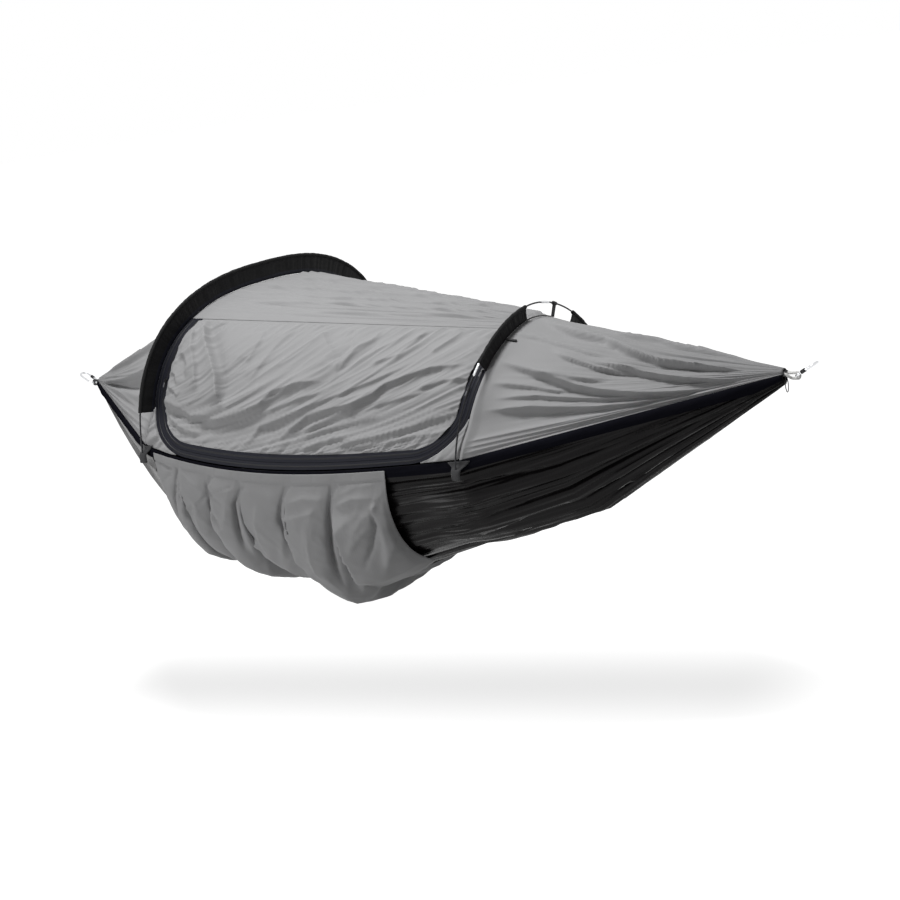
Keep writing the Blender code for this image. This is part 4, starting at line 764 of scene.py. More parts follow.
class TentColours(bpy.types.PropertyGroup):
    cover: colour("Cover", "The grey cover cloth", "#969697")
    hammock: colour("Hammock", "The black hammock cloth", "#100e0f")
    band: colour("Hem band", "The dark binding along the hem", "#17171d")
    sleeve: colour("Sleeve", "The pole sleeves", "#0b0b0c")
    zip_tape: colour("Zip tape", "The tape of both zips", "#191a22")
    net: colour("Netting", "The insect netting", "#18181a")
    webbing: colour("Webbing", "The pockets and straps", "#232325")
    pole: colour("Pole", "The anodised pole tube", "#1c1c1f")
    alloy: colour("Alloy", "Bare aluminium", "#d9dadc")
    steel: colour("Steel", "The hinge pins", "#c8c8ca")
    rope: colour("Rope", "The white rope loop", "#e4e4e2")
    cord: colour("Cord", "The black cords and ties", "#121214")
    pull: colour("Pull", "The zip pulls", "#5c5c60")


class TentStage(bpy.types.PropertyGroup):
    floor_drop: length("Floor below", "Depth of the floor under where the head carabiner hangs", 1.02)
    top: FloatProperty(name="Top lamp", description="Power of the lamp over the tent", default=98.0, min=0,
                       unit="POWER")
    front: FloatProperty(name="Front lamp", description="Power of the lamp at the head end's near side",
                         default=53.0, min=0, unit="POWER")
    sky: FloatProperty(name="Surround", description="Brightness of the white room round the tent",
                       default=0.17, min=0)
    # Painted shade: the share of full white that the floor's own glow is dimmed to in the band under the tent
    white: FloatProperty(name="Floor white", default=0.75, min=0, max=1,
                         description="How much of the floor's white is its own, under the tent")


def settle(obj, body, nodes):
    """Carries a finished piece on its body, in place of its solids."""
    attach(obj, body)
    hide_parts(*nodes)
    return obj


# The hammock and its hem bands
def hammock_stations(count):
    """Places along the hammock, closer towards its ends, with one at each hem corner and the floor's bend."""
    even = np.linspace(0, 1, count + 1)
    xs = blend(CLOTH_HEAD_X, CLOTH_FOOT_X, 0.55 * even + 0.45 * (1 - np.cos(math.pi * even)) / 2)
    for mark in (HEM_HEAD.x, HEM_FOOT.x, HEAD_END.x + BOTTOM_SHARES[-2][0] * FABRIC_LENGTH):
        xs[np.argmin(abs(xs - mark))] = mark
    return xs


def long_folds(u, x, seed, count, depth):
    """Folds that run from both gathered ends along the hammock and die out; u goes from 0 to 1 across it."""
    rng = np.random.default_rng(seed)
    total = np.zeros_like(u)
    for away in (x - CLOTH_HEAD_X, CLOTH_FOOT_X - x):
        for k in range(count):
            middle = (k + 0.5 + rng.uniform(-0.42, 0.42)) / count
            half = rng.uniform(0.10, 0.30) / count
            far = rng.uniform(0.45, 1.35)
            lean, bow = rng.uniform(-0.35, 0.35) / count, rng.uniform(-0.25, 0.25) / count
            tall = depth * rng.uniform(0.35, 1.0) * rng.choice((-1, 1))
            offset = (u - middle - lean * away - bow * away**2) / half
            profile = 1.7 * np.tanh(offset) * np.exp(-np.abs(offset) / rng.uniform(1.2, 2.6))
            total += tall * profile * (1 - np.exp(-away / 0.25)) * np.exp(-((away / far) ** 3))
    return total


class TENT_OT_hammock(bpy.types.Operator):
    """Hangs the hammock cloth, gathered at both ends, with its long converging folds"""
    bl_idname = "tent.hammock"
    bl_label = "Hammock"

    # Each fold is a line of (metres from the head hook, share across from the near hem), its width, which is a
    # share too, and its height
    FOLDS = (
        (((1.75, 0.075), (2.03, 0.063), (2.22, 0.084), (2.49, 0.096), (2.75, 0.12)), 0.006, 0.018),
        (((1.72, 0.14), (2.04, 0.123), (2.28, 0.134), (2.45, 0.151), (2.75, 0.168)), 0.0075, 0.022),
        (((1.7, 0.218), (2.06, 0.185), (2.27, 0.184), (2.55, 0.181), (2.75, 0.214)), 0.008, 0.025),
        (((1.7, 0.32), (2.1, 0.239), (2.28, 0.248), (2.46, 0.269), (2.75, 0.252)), 0.008, 0.022),
        (((1.8, 0.38), (2.05, 0.336), (2.29, 0.328), (2.44, 0.349), (2.75, 0.345)), 0.0075, 0.02),
        (((1.7, 0.1), (2.00, 0.092), (2.3, 0.108), (2.7, 0.13)), 0.003, 0.006),
        (((1.7, 0.18), (2.00, 0.155), (2.3, 0.16), (2.7, 0.172)), 0.003, 0.007),
        (((1.7, 0.26), (2.00, 0.215), (2.3, 0.215), (2.7, 0.228)), 0.0035, 0.008),
        (((1.75, 0.43), (2.1, 0.4), (2.4, 0.42), (2.7, 0.43)), 0.0055, 0.009),
    )
    # Along a fold, metres count for less than shares across it: the folds are long and narrow
    RUN_COUNTS = 0.12
    TIGHT_FOLDS = ((0.0120, 0.045, 2.4, 13), (0.0060, 0.020, 1.6, 17))
    COLUMNS, GATHER = 185, 0.10
    # Between these places the pouch lies on the cloth and the folds stay low
    POUCH_FROM, POUCH_TO = 0.93, 1.80
    LOW, HIGH, TALLEST = 0.0010, 0.0160, 0.015

    def execute(self, context):
        sizes, looks = context.scene.tent_sizes, looks_of(context)
        xs = hammock_stations(sizes.fineness)
        turns = np.linspace(0, math.pi, self.COLUMNS)
        base = np.array([[shell(x, turn) for turn in turns] for x in xs])
        base[:, (0, -1), 2] -= SEAM_GAP
        x, u = over_grid(xs, turns / math.pi)
        deep = np.maximum(END_DEPTH, np.array([hem(s).z - bottom_z(s) for s in xs]))[:, None]
        drop = deep * np.sin(np.pi * u)
        ends = (ease((self.GATHER - away) / self.GATHER) for away in (x - CLOTH_HEAD_X, CLOTH_FOOT_X - x))
        calm = np.clip(ease((drop - 0.7 * BAND_WIDTH) / BAND_WIDTH) + 0.4 * np.clip(sum(ends), 0, 1), 0, 1)
        limit = np.minimum(1.0, deep / 0.24)
        free = np.clip(ease((x - self.POUCH_TO) / 0.12) + ease((self.POUCH_FROM - x) / 0.10), 0, 1)
        depth = 0.45 * long_folds(u, x, 5, 16, sizes.hammock_fold)
        depth += 0.25 * long_folds(u, x, 9, 30, sizes.hammock_fold)
        for mirror in (u, 1 - u):
            for path, width, tall in self.FOLDS:
                line = [(share, self.RUN_COUNTS * run) for run, share in path]
                depth += crease(mirror, self.RUN_COUNTS * x, line, width, tall, 2.2, 0.30, 0.05)
        depth += tight_folds(u, x, self.TIGHT_FOLDS)
        depth += 0.0130 * noise(from_edge(u), x, 0.046, 1.5, 51) * free + 0.0016 * wander(u, x, 0.05, 0.55, 3)
        highest, upper = np.max(depth, axis=1, keepdims=True), np.percentile(depth, 70, axis=1, keepdims=True)
        depth = flattened(depth - blend(highest, upper, free), self.TALLEST) * limit + 0.0008
        depth = np.minimum(depth, blend(self.LOW, self.HIGH, free)) * calm
        points = raised(base, depth, DOWN)
        obj = cloth("hammock_cloth", points, x, from_edge(u) * 1.3, looks["hammock"], sizes.cloth)
        settle(obj, "tent", ["hammock_body"])
        return {"FINISHED"}


class TENT_OT_hem_bands(bpy.types.Operator):
    """Binds both hems of the hammock with a folded dark band"""
    bl_idname = "tent.hem_bands"
    bl_label = "Hem bands"

    def execute(self, context):
        sizes, looks = context.scene.tent_sizes, looks_of(context)
        xs, shares = hammock_stations(sizes.fineness), np.linspace(0, 1, 17)
        run, width = over_grid(xs, shares * BAND_WIDTH)
        for name, side in (("near_hem", NEAR), ("far_hem", FAR)):
            points = np.array([[self.point(x, share, side) for share in shares] for x in xs])
            obj = cloth(f"{name}_binding", points, run, width, looks["band"], sizes.cloth)
            settle(obj, "tent", [f"{name}_band"])
        return {"FINISHED"}

    def point(self, x, share, side):
        """A point of the band, at a share of its width: slightly rolled, and plump beyond the arches."""
        deep = max(END_DEPTH, hem(x).z - bottom_z(x))
        reach = min(BAND_WIDTH, deep / 2) * share
        turn = math.asin(min(1.0, (reach / deep) ** (section_power(x) / 2)))
        plump = float(ease((x - HEM_FOOT.x - 0.04) / 0.08) + ease((HEM_HEAD.x - 0.04 - x) / 0.08))
        roll = 0.0014 * math.sin(math.pi * min(1.0, share * 1.15))
        roll += 0.0012 * math.exp(-(((share - 0.62) / 0.16) ** 2))
        roll += 0.0085 * plump * min(1.0, deep / 0.10) * math.sin(math.pi * share) ** 0.5
        ripple = 0.0007 * math.sin(x * 61 + 4 * share) * math.sin(math.pi * share)
        point = shell(x, turn, BAND_STANDS_OFF + roll + ripple)
        return point.x, side * point.y, point.z - SEAM_GAP


# The covers beyond the arches
def end_ring(turn, x):
    return Vector((x, -END_HALF * math.cos(turn), CHORD_Z + END_CROWN * math.sin(turn)))


def end_cover(sizes, looks, node, arch, end_x, inwards, seed, creases, flat, area):
    """A cover drawn from an arch to the gathered end, its folds running together there."""
    table = arch.table(arch.hem_turn(), math.pi - arch.hem_turn())
    even = np.linspace(0, 1, 261)
    acrosses = even - 0.5 * np.sin(2 * math.pi * even) / (2 * math.pi)
    shares = np.linspace(0, 1, 125) ** 0.9
    turns = [turn_at(table, across) for across in acrosses]
    starts = [arch.cloth(turn) + arch.normal * (inwards * SEAM_GAP) for turn in turns]
    ends = [end_ring(math.pi * across, end_x) for across in acrosses]
    base = np.array([[blend(start, end, share) for start, end in zip(starts, ends)] for share in shares])
    base[..., 2] += SEAM_GAP
    share, across = over_grid(shares, acrosses)
    reach, wide = abs(end_x - arch.x), table[1][-1]
    run, girth = share * reach, across * wide
    depth = np.zeros_like(across)
    for path, width, height in creases:
        line = stretched(reversed(path), wide, reach)
        depth += crease(girth, run, line, 0.85 * width, 0.9 * height, 2.6, 0.14, 0.25)
    # Tight folds that run into the gathered end, and a few that the hem's pull lays along it
    fold = 0.40 * sizes.cover_fold
    depth += fold * streaks(across, share, 0.075, 2.2, seed) * ease(share / 0.25)
    depth += fold * streaks(across, share, 0.032, 1.6, seed + 5) * ease((share - 0.10) / 0.4)
    for k, spot in enumerate((0.016, 0.030, 0.047)):
        shape = [(blend(spot, 0.010 + 0.014 * k, b), b) for b in (0.01, 0.3, 0.6, 0.97)]
        line = stretched(shape, wide, reach)
        for mirror in (across, 1 - across):
            depth += pinch(mirror * wide, run, line, 0.0045, 0.0050, 0.03, 0.03)
    depth -= np.percentile(depth, 55, axis=1, keepdims=True)
    depth -= 0.008 * np.sin(math.pi * share) * (0.6 + 0.4 * wander(across, share, 0.22, 0.6, seed + 40))
    depth = flattened(depth, 0.026) * np.minimum(1.0, (1 - share) * 3.0 + 0.10)
    calm = ease(from_edge(across) / 0.008) * ease(share / 0.04)
    points = base - np.array([arch.inward(turn) for turn in turns]) * (depth * calm)[..., None]
    obj = cloth(f"{node}_cloth", points, across * blend(wide, 0.06, share), run, looks["cover"], sizes.cloth)
    settle(obj, "tent", [node])


class TENT_OT_end_covers(bpy.types.Operator):
    """Draws the grey covers from the arches to the gathered ends"""
    bl_idname = "tent.end_covers"
    bl_label = "End covers"

    # Each crease is a line of (share across from the near hem, share towards the end), its width and height
    FOOT_CREASES = (
        (((0.52, 0.02), (0.478, 0.12), (0.45, 0.22), (0.432, 0.35), (0.379, 0.46), (0.325, 0.585),
          (0.299, 0.72), (0.25, 0.9)), 0.011, 0.029),
        (((0.31, 0.32), (0.263, 0.5), (0.196, 0.65), (0.11, 0.88)), 0.01, 0.024),
        (((0.278, 0.1), (0.22, 0.25), (0.181, 0.345), (0.146, 0.45), (0.107, 0.58),
          (0.06, 0.78)), 0.012, 0.027),
        (((0.131, 0.03), (0.122, 0.207), (0.091, 0.38), (0.069, 0.51), (0.05, 0.66)), 0.012, 0.018),
        (((0.165, 0.05), (0.158, 0.22), (0.12, 0.42), (0.085, 0.6)), 0.008, 0.012),
        (((0.215, 0.03), (0.19, 0.2), (0.16, 0.32)), 0.008, 0.01),
        (((0.348, 0.18), (0.317, 0.244), (0.275, 0.37), (0.24, 0.52)), 0.007, 0.015),
        (((0.29, 0.02), (0.239, 0.187), (0.216, 0.317), (0.19, 0.44)), 0.01, 0.015),
        (((0.4, 0.00), (0.385, 0.14), (0.362, 0.26), (0.33, 0.4)), 0.004, 0.009),
        (((0.52, 0.3), (0.55, 0.5), (0.53, 0.66), (0.5, 0.88)), 0.012, 0.02),
        (((0.6, 0.05), (0.62, 0.5), (0.64, 0.9)), 0.012, -0.022),
        (((0.74, 0.1), (0.77, 0.5), (0.8, 0.9)), 0.014, -0.025),
        (((0.88, 0.05), (0.9, 0.45), (0.93, 0.85)), 0.01, -0.02),
    )
    HEAD_CREASES = (
        (((0.24, 0.03), (0.22, 0.45), (0.19, 0.94)), 0.034, -0.042),
        (((0.17, 0.02), (0.145, 0.4), (0.11, 0.9)), 0.014, 0.02),
        (((0.115, 0.02), (0.1, 0.4), (0.08, 0.9)), 0.02, -0.03),
        (((0.34, 0.06), (0.33, 0.5), (0.31, 0.94)), 0.018, 0.022),
        (((0.41, 0.1), (0.4, 0.5), (0.38, 0.94)), 0.012, -0.014),
        (((0.48, 0.05), (0.47, 0.5), (0.46, 0.92)), 0.014, 0.012),
        (((0.63, 0.05), (0.65, 0.5), (0.67, 0.92)), 0.018, -0.016),
        (((0.8, 0.05), (0.82, 0.5), (0.85, 0.92)), 0.018, -0.02),
        (((0.92, 0.05), (0.93, 0.45), (0.94, 0.88)), 0.012, -0.012),
    )

    def execute(self, context):
        sizes, looks = context.scene.tent_sizes, looks_of(context)
        for cover in (
            ("foot_cover", FOOT_ARCH, CLOTH_FOOT_X, 1, 21, self.FOOT_CREASES, (1.10, 0.92), 0.50),
            ("head_cover", HEAD_ARCH, CLOTH_HEAD_X, -1, 33, self.HEAD_CREASES, (1.65, 0.98), 0.80),
        ):
            end_cover(sizes, looks, *cover)
        return {"FINISHED"}


# The roof and the wall on the far side
class TENT_OT_roof_and_wall(bpy.types.Operator):
    """Stretches the roof between the arches and hangs the plain wall on the far side"""
    bl_idname = "tent.roof_and_wall"
    bl_label = "Roof and far wall"

    # Each crease is a line of (share from the head arch, metres from the near seam), its width and its height
    CREASES = (
        (((0.03, 0.1), (0.45, 0.13), (0.95, 0.12)), 0.009, 0.005),
        (((0.06, 0.17), (0.5, 0.21), (0.97, 0.19)), 0.008, 0.0048),
        (((0.3, 0.05), (0.62, 0.06), (0.97, 0.05)), 0.008, 0.005),
        (((0.02, 0.26), (0.4, 0.3), (0.8, 0.27)), 0.009, 0.005),
        (((0.25, 0.36), (0.6, 0.36), (0.97, 0.31)), 0.01, 0.0046),
        (((0.02, 0.4), (0.35, 0.45), (0.75, 0.41)), 0.009, 0.005),
    )
    # The felled seam at each long edge is a raised band; shares across place it and the mesh's lines by it
    FELLED, FELLED_HALF, FELLED_HEIGHT = 0.0065, 0.0025, 0.0008
    SEAM_LINES = (0.0, 0.003, 0.005, 0.0085, 0.011)
    WALL_TIGHT_FOLDS = ((0.0055, 0.095, 0.35, 73), (0.0025, 0.040, 0.20, 75))
    WALL_CREASE_STARTS = (0.02, 0.22, 0.46, 0.70)
    # How far the wall's lower edge lies behind the hem band, so that no light comes through the seam
    TUCK_DOWN, TUCK_IN = 0.006, 0.0024

    def execute(self, context):
        sizes, looks = context.scene.tent_sizes, looks_of(context)
        far_lines = [1 - share for share in reversed(self.SEAM_LINES)]
        acrosses = np.array([*self.SEAM_LINES, *np.linspace(0.02, 0.98, 130), *far_lines])
        alongs = np.linspace(0, 1, 150)
        edges, lengths = [], []
        for arch, seam_turn, inwards in ((HEAD_ARCH, HEAD_SEAM_TURN, 1), (FOOT_ARCH, FOOT_SEAM_TURN, -1)):
            first = seam_turn + arch.per_metre(seam_turn) * HINGE_GAP
            table = arch.table(first, math.pi - first)
            gap = arch.normal * (inwards * SEAM_GAP)
            edges.append([arch.cloth(turn_at(table, across)) + gap for across in acrosses])
            lengths.append(table[1][-1])
        base = np.array([[blend(head, foot, along) for along in alongs] for head, foot in zip(*edges)])
        across, along = over_grid(acrosses, alongs)
        wide = blend(*lengths, along)
        scale = sizes.roof_crease / 0.0019
        depth = 0.0030 * wander(along, across, 1.40, 0.16, 11)
        depth += 0.0052 * scale * streaks(across, along, 0.090, 2.2, 19)
        depth += 0.0026 * scale * streaks(across - 0.02 * along, along, 0.040, 1.5, 17)
        depth -= 0.009 * np.sin(math.pi * along) * np.sin(math.pi * across)
        for path, width, height in self.CREASES:
            depth += scale * crease(along, across * wide, path, width, height)
        felled = np.where(abs(from_edge(across) - self.FELLED) < self.FELLED_HALF, self.FELLED_HEIGHT, 0.0)
        calm = ease((from_edge(across) - 0.006) / 0.05) * ease(from_edge(along) / 0.02)
        points = raised(base, depth * calm + felled, UP)
        obj = cloth("roof_cloth", points, along * 1.05, across * wide, looks["cover"], sizes.cloth)
        settle(obj, "tent", ["roof_panel"])
        self.far_wall(sizes, looks)
        return {"FINISHED"}

    def far_wall(self, sizes, looks):
        margin = 2 * SEAM_GAP / WALL_LENGTH
        alongs = np.linspace(margin, 1 - margin, 180)
        ups = np.linspace(-self.TUCK_DOWN / FOOT_WALL_HEIGHT, 1 - SEAM_GAP / FOOT_WALL_HEIGHT, 90)
        base = np.array([[wall_point(along, up, FAR) for along in alongs] for up in ups])
        up, along = over_grid(ups, alongs)
        x, height = along * WALL_LENGTH, up * blend(HEAD_WALL_HEIGHT, FOOT_WALL_HEIGHT, along)
        depth = 0.006 * np.sin(math.pi * along) * np.sin(math.pi * up)
        depth += 0.0035 * wander(x, height, 0.30, 0.16, 71)
        depth += tight_folds(pulled(x, height), height, self.WALL_TIGHT_FOLDS)
        for k, start in enumerate(self.WALL_CREASE_STARTS):
            path = ((start, 0.40), (start + 0.16, 0.22), (start + 0.30, 0.05))
            depth += crease(x, height, path, 0.014, 0.0055 * (-1) ** k)
        calm = ease(from_edge(up) / 0.04) * ease(from_edge(along) / 0.03)
        tuck = self.TUCK_IN * (1 - ease((up * FOOT_WALL_HEIGHT - 0.001) / 0.012))
        points = raised(base, depth * calm - tuck, base * ACROSS)
        obj = cloth("far_wall_cloth", points, x, height, looks["cover"], sizes.cloth)
        settle(obj, "tent", ["far_wall"])


# The door side
def outline(inset, corner_steps, side_steps, floor_steps):
    """The line round the door opening, inset from the wall's edges: (x, height) from seam to seam."""
    radius, floor = ZIP_CORNER - inset, inset + WALL_ABOVE_HEM
    corner_x, corner_height = WALL_LENGTH - ZIP_CORNER, ZIP_CORNER + WALL_ABOVE_HEM
    turns = spread(0, math.pi / 2, corner_steps)[1:]
    spots = [(inset, blend(HEAD_WALL_HEIGHT, ZIP_CORNER, share)) for share in spread(0, 1, side_steps)]
    spots += [(ZIP_CORNER - radius * math.cos(t), corner_height - radius * math.sin(t)) for t in turns]
    spots += [(blend(ZIP_CORNER, corner_x, share), floor) for share in spread(0, 1, floor_steps)[1:]]
    spots += [(corner_x + radius * math.sin(t), corner_height - radius * math.cos(t)) for t in turns]
    sides = spread(0, 1, side_steps)[1:]
    return spots + [(WALL_LENGTH - inset, blend(ZIP_CORNER, FOOT_WALL_HEIGHT, share)) for share in sides]


class TENT_OT_zips(bpy.types.Operator):
    """Runs the door's and the net's zips round the opening, each a woven tape with its coil"""
    bl_idname = "tent.zips"
    bl_label = "Zips"

    # Shares across the tape, the height above it and the face's kind: 0 for tape, 1 for coil
    PROFILE = (
        (0.00, 0.0000, 0), (0.06, 0.0007, 0), (0.12, 0.0002, 0), (0.3, 0.0001, 0), (0.39, 0.0003, 1),
        (0.42, 0.0013, 1), (0.47, 0.0018, 1), (0.5, 0.0012, 1), (0.53, 0.0018, 1), (0.58, 0.0013, 1),
        (0.61, 0.0003, 0), (0.7, 0.0001, 0), (0.88, 0.0002, 0), (0.94, 0.0007, 0), (1.00, 0.0000, 0),
    )
    # The divisions of a zip's line along a corner, a side and the floor, and the run that each counts for
    STEPS, STEP_RUN = (16, 26, 60), 0.018

    def execute(self, context):
        looks = looks_of(context)
        self.zip_of(looks, "net_zip", 2 * SEAM_GAP, ZIP_TAPE, 0.0)
        self.zip_of(looks, "door_zip", ZIP_TAPE + SEAM_GAP, 2 * ZIP_TAPE + 3 * SEAM_GAP, 0.0006)
        return {"FINISHED"}

    def zip_of(self, looks, name, inner, outer, lift):
        """One zip between two insets from the opening's edge, lifted off the wall."""
        lines = [outline(blend(inner, outer, share), *self.STEPS) for share, _, _ in self.PROFILE]
        base = [outline(inset, *self.STEPS) for inset in (outer, inner)]
        sections, uvs = [], []
        for i in range(len(lines[0])):
            wave = 0.0006 * math.sin(i * 0.9) * math.sin(i * 0.23)
            section = []
            for line, (share, height, _) in zip(lines, self.PROFILE):
                out = CLOTH / 2 + height + lift + wave * math.sin(math.pi * share)
                section.append(on_wall(*line[i], out))
                uvs.append((i * self.STEP_RUN, share * ZIP_TAPE))
            section += [on_wall(*line[i], -CLOTH / 2) for line in base]
            uvs += [(i * self.STEP_RUN, 0.0)] * len(base)
            sections.append(section)
        kinds = [kind for _, _, kind in self.PROFILE] + [0] * len(base)
        obj = swept(name, sections, [looks["zip"], looks["coil"]], kinds, uvs)
        settle(obj, "tent", [f"{name}_tape"])


class TENT_OT_gussets(bpy.types.Operator):
    """Sews the crumpled cover corners outside the zips' round corners"""
    bl_idname = "tent.gussets"
    bl_label = "Corner gussets"

    ROWS, COLUMNS, TRIM = 46, 22, math.radians(12.0)

    def execute(self, context):
        sizes, looks = context.scene.tent_sizes, looks_of(context)
        turns = np.linspace(self.TRIM, math.pi / 2 - self.TRIM, self.ROWS)
        shares = np.linspace(0, 1, self.COLUMNS)
        flat = np.array([[self.place(turn, share) for share in shares] for turn in turns])
        along, share = over_grid(np.linspace(0, 1, self.ROWS), shares)
        calm = ease(from_edge(share) / 0.12) * ease(from_edge(along) / 0.08)
        heights = flat[..., 1]
        # The head's corner is the more crumpled
        for node, xs, crumple, seed in (
            ("head_gusset", flat[..., 0], 0.0080, 81),
            ("foot_gusset", WALL_LENGTH - flat[..., 0], 0.0030, 91),
        ):
            depth = 0.004 + crumple * wander(xs + heights, xs - heights, 0.14, 0.022, seed)
            base = wall_grid(xs, heights)
            points = raised(base, np.maximum(depth, 0.0) * calm, base * ACROSS)
            obj = cloth(f"{node}_cloth", points, xs, heights, looks["cover"], sizes.cloth)
            settle(obj, "tent", [node])
        return {"FINISHED"}

    def place(self, turn, share):
        """The flat place at a turn round the head's corner, share of the way from its edges to the zip."""
        if turn < math.pi / 4:
            x, height = SEAM_GAP, ZIP_CORNER - (ZIP_CORNER - SEAM_GAP) * math.tan(turn)
        else:
            x, height = ZIP_CORNER - (ZIP_CORNER - SEAM_GAP) / math.tan(turn), 2 * SEAM_GAP
        zip_x, zip_height = ZIP_CORNER * (1 - math.cos(turn)), ZIP_CORNER * (1 - math.sin(turn))
        return blend(x, zip_x - SEAM_GAP, share), WALL_ABOVE_HEM + blend(height, zip_height - SEAM_GAP, share)


DOOR_INSET = 2 * ZIP_TAPE + HINGE_GAP + 2 * SEAM_GAP


def door_places(columns, rows, corner_rows):
    """The flat places of the door's grid, below the seam and inside the zips, with round lower corners.

    They are given as x, height and how far down the door each lies, from 0 to 1.
    """
    radius, floor = ZIP_CORNER - DOOR_INSET, DOOR_INSET + WALL_ABOVE_HEM
    levels = [(share, 0.0) for share in spread(0, 1, rows)]
    levels += [(1.0, turn) for turn in spread(0, math.pi / 2, corner_rows)[1:]]
    places = np.empty((len(levels), columns + 1, 3))
    for row, (share_down, turn) in zip(places, levels):
        cut = DOOR_INSET + radius * (1 - math.cos(turn))
        for place, across in zip(row, spread(0, 1, columns)):
            top = blend(HEAD_WALL_HEIGHT, FOOT_WALL_HEIGHT, across) - HINGE_GAP / 2
            height = blend(top, floor + radius, share_down) - radius * math.sin(turn)
            place[:] = blend(cut, WALL_LENGTH - cut, across), height, (top - height) / (top - floor)
    return np.moveaxis(places, 2, 0)


def pulled(x, height):
    """Constant along the lines of the zip's pull on a wall: nearly level at the hem, steep under the roof."""
    return x - 0.72 * (1 - np.exp(-(height - 0.05) / 0.16))


class TENT_OT_door(bpy.types.Operator):
    """Hangs the door from the roof's seam, creased slantwise where it is pulled by its zip"""
    bl_idname = "tent.door"
    bl_label = "Door"

    # Each crease is a line of (metres from the head arch, metres above the hem), its width and its height
    CREASES = (
        (((0.45, 0.06), (0.5, 0.1), (0.552, 0.138), (0.612, 0.153), (0.693, 0.168), (0.753, 0.193),
          (0.781, 0.22), (0.9, 0.268), (1.02, 0.29)), 0.009, 0.01),
        (((0.33, 0.05), (0.373, 0.07), (0.399, 0.109), (0.562, 0.165), (0.667, 0.2), (0.765, 0.241),
          (0.801, 0.262), (0.853, 0.309)), 0.007, 0.006),
        (((0.18, 0.1), (0.254, 0.119), (0.326, 0.142), (0.387, 0.164), (0.426, 0.197), (0.497, 0.218),
          (0.6, 0.23)), 0.014, 0.011),
        (((0.22, 0.075), (0.257, 0.087), (0.346, 0.125), (0.407, 0.146), (0.511, 0.18),
          (0.62, 0.205)), 0.008, 0.0055),
        (((0.66, 0.06), (0.687, 0.062), (0.815, 0.084), (0.904, 0.106), (0.951, 0.123),
          (1.024, 0.14)), 0.007, 0.007),
        (((0.7, 0.052), (0.787, 0.058), (0.892, 0.073), (1.001, 0.085)), 0.005, 0.0045),
        (((0.55, 0.05), (0.656, 0.08), (0.712, 0.078)), 0.006, 0.005),
        (((0.88, 0.205), (0.902, 0.212), (0.953, 0.233), (1.044, 0.24)), 0.007, 0.0055),
        (((0.594, 0.267), (0.603, 0.312), (0.614, 0.337), (0.579, 0.41)), 0.012, -0.004),
        (((0.329, 0.218), (0.35, 0.267), (0.373, 0.346), (0.402, 0.403)), 0.012, 0.004),
        (((0.611, 0.247), (0.64, 0.329), (0.671, 0.357), (0.681, 0.417)), 0.01, 0.0045),
        (((0.697, 0.276), (0.779, 0.308), (0.805, 0.36), (0.821, 0.424)), 0.009, 0.005),
        (((0.872, 0.317), (0.909, 0.373), (0.928, 0.43)), 0.008, 0.004),
        (((0.618, 0.226), (0.599, 0.29), (0.533, 0.343), (0.472, 0.406)), 0.014, 0.004),
        (((0.299, 0.272), (0.307, 0.334), (0.294, 0.396)), 0.012, 0.0035),
        (((0.541, 0.076), (0.61, 0.1), (0.698, 0.119), (0.799, 0.141)), 0.007, 0.005),
        (((0.525, 0.076), (0.589, 0.119), (0.661, 0.143), (0.731, 0.168)), 0.007, 0.0045),
        (((0.756, 0.16), (0.824, 0.179), (0.93, 0.205)), 0.008, 0.0045),
        (((0.258, 0.144), (0.244, 0.174), (0.217, 0.232), (0.176, 0.279), (0.127, 0.332),
          (0.057, 0.43)), 0.013, 0.019),
        (((0.158, 0.18), (0.129, 0.254), (0.083, 0.321), (0.045, 0.415)), 0.011, 0.008),
        (((0.03, 0.145), (0.086, 0.139), (0.152, 0.118), (0.244, 0.124)), 0.011, 0.009),
        (((0.05, 0.11), (0.09, 0.088), (0.132, 0.074), (0.2, 0.07)), 0.007, 0.0065),
        (((0.045, 0.285), (0.075, 0.285), (0.1, 0.255), (0.108, 0.215)), 0.008, 0.006),
        (((0.04, 0.235), (0.065, 0.225), (0.08, 0.195)), 0.006, 0.005),
        (((0.04, 0.19), (0.07, 0.182), (0.095, 0.165)), 0.005, 0.0045),
    )

    TIGHT_FOLDS = ((0.0042, 0.085, 0.30, 103), (0.0022, 0.038, 0.16, 107))

    def execute(self, context):
        sizes, looks = context.scene.tent_sizes, looks_of(context)
        x, height, fall = door_places(290, 104, 30)
        base = wall_grid(x, height)
        across = x / WALL_LENGTH
        scale = sizes.door_crease / 0.0041
        depth = 0.012 * np.sin(math.pi * np.clip(across, 0, 1)) * np.sin(math.pi * np.clip(fall, 0, 1))
        depth += 0.0030 * ease(from_edge(fall) / 0.1) * ease((from_edge(across) - 0.035) / 0.03)
        for path, width, tall in self.CREASES:
            depth += scale * crease(x, height, path, width, tall)
        # Tight folds along the zip's pull, finer towards the lower edge
        depth += scale * tight_folds(pulled(x, height), height, self.TIGHT_FOLDS)
        # Short puckers under the seam and beside the zip, where the stitching draws the cloth up
        top = np.exp(-((fall / 0.12) ** 1.3)) * ease(fall / 0.025)
        depth += 0.0030 * top * wander(x - 0.5 * height, fall, 0.014, 0.5, 111)
        low = np.exp(-(((1 - fall) / 0.08) ** 1.3)) * ease((1 - fall) / 0.010)
        depth += 0.0034 * low * wander(x - 0.9 * height, fall, 0.018, 0.5, 121)
        side = from_edge(across) - 0.036
        beside = np.exp(-np.maximum(side, 0) / 0.025) * ease(side / 0.005)
        depth += 0.0026 * beside * wander(height + 0.3 * x, x, 0.016, 0.3, 131)
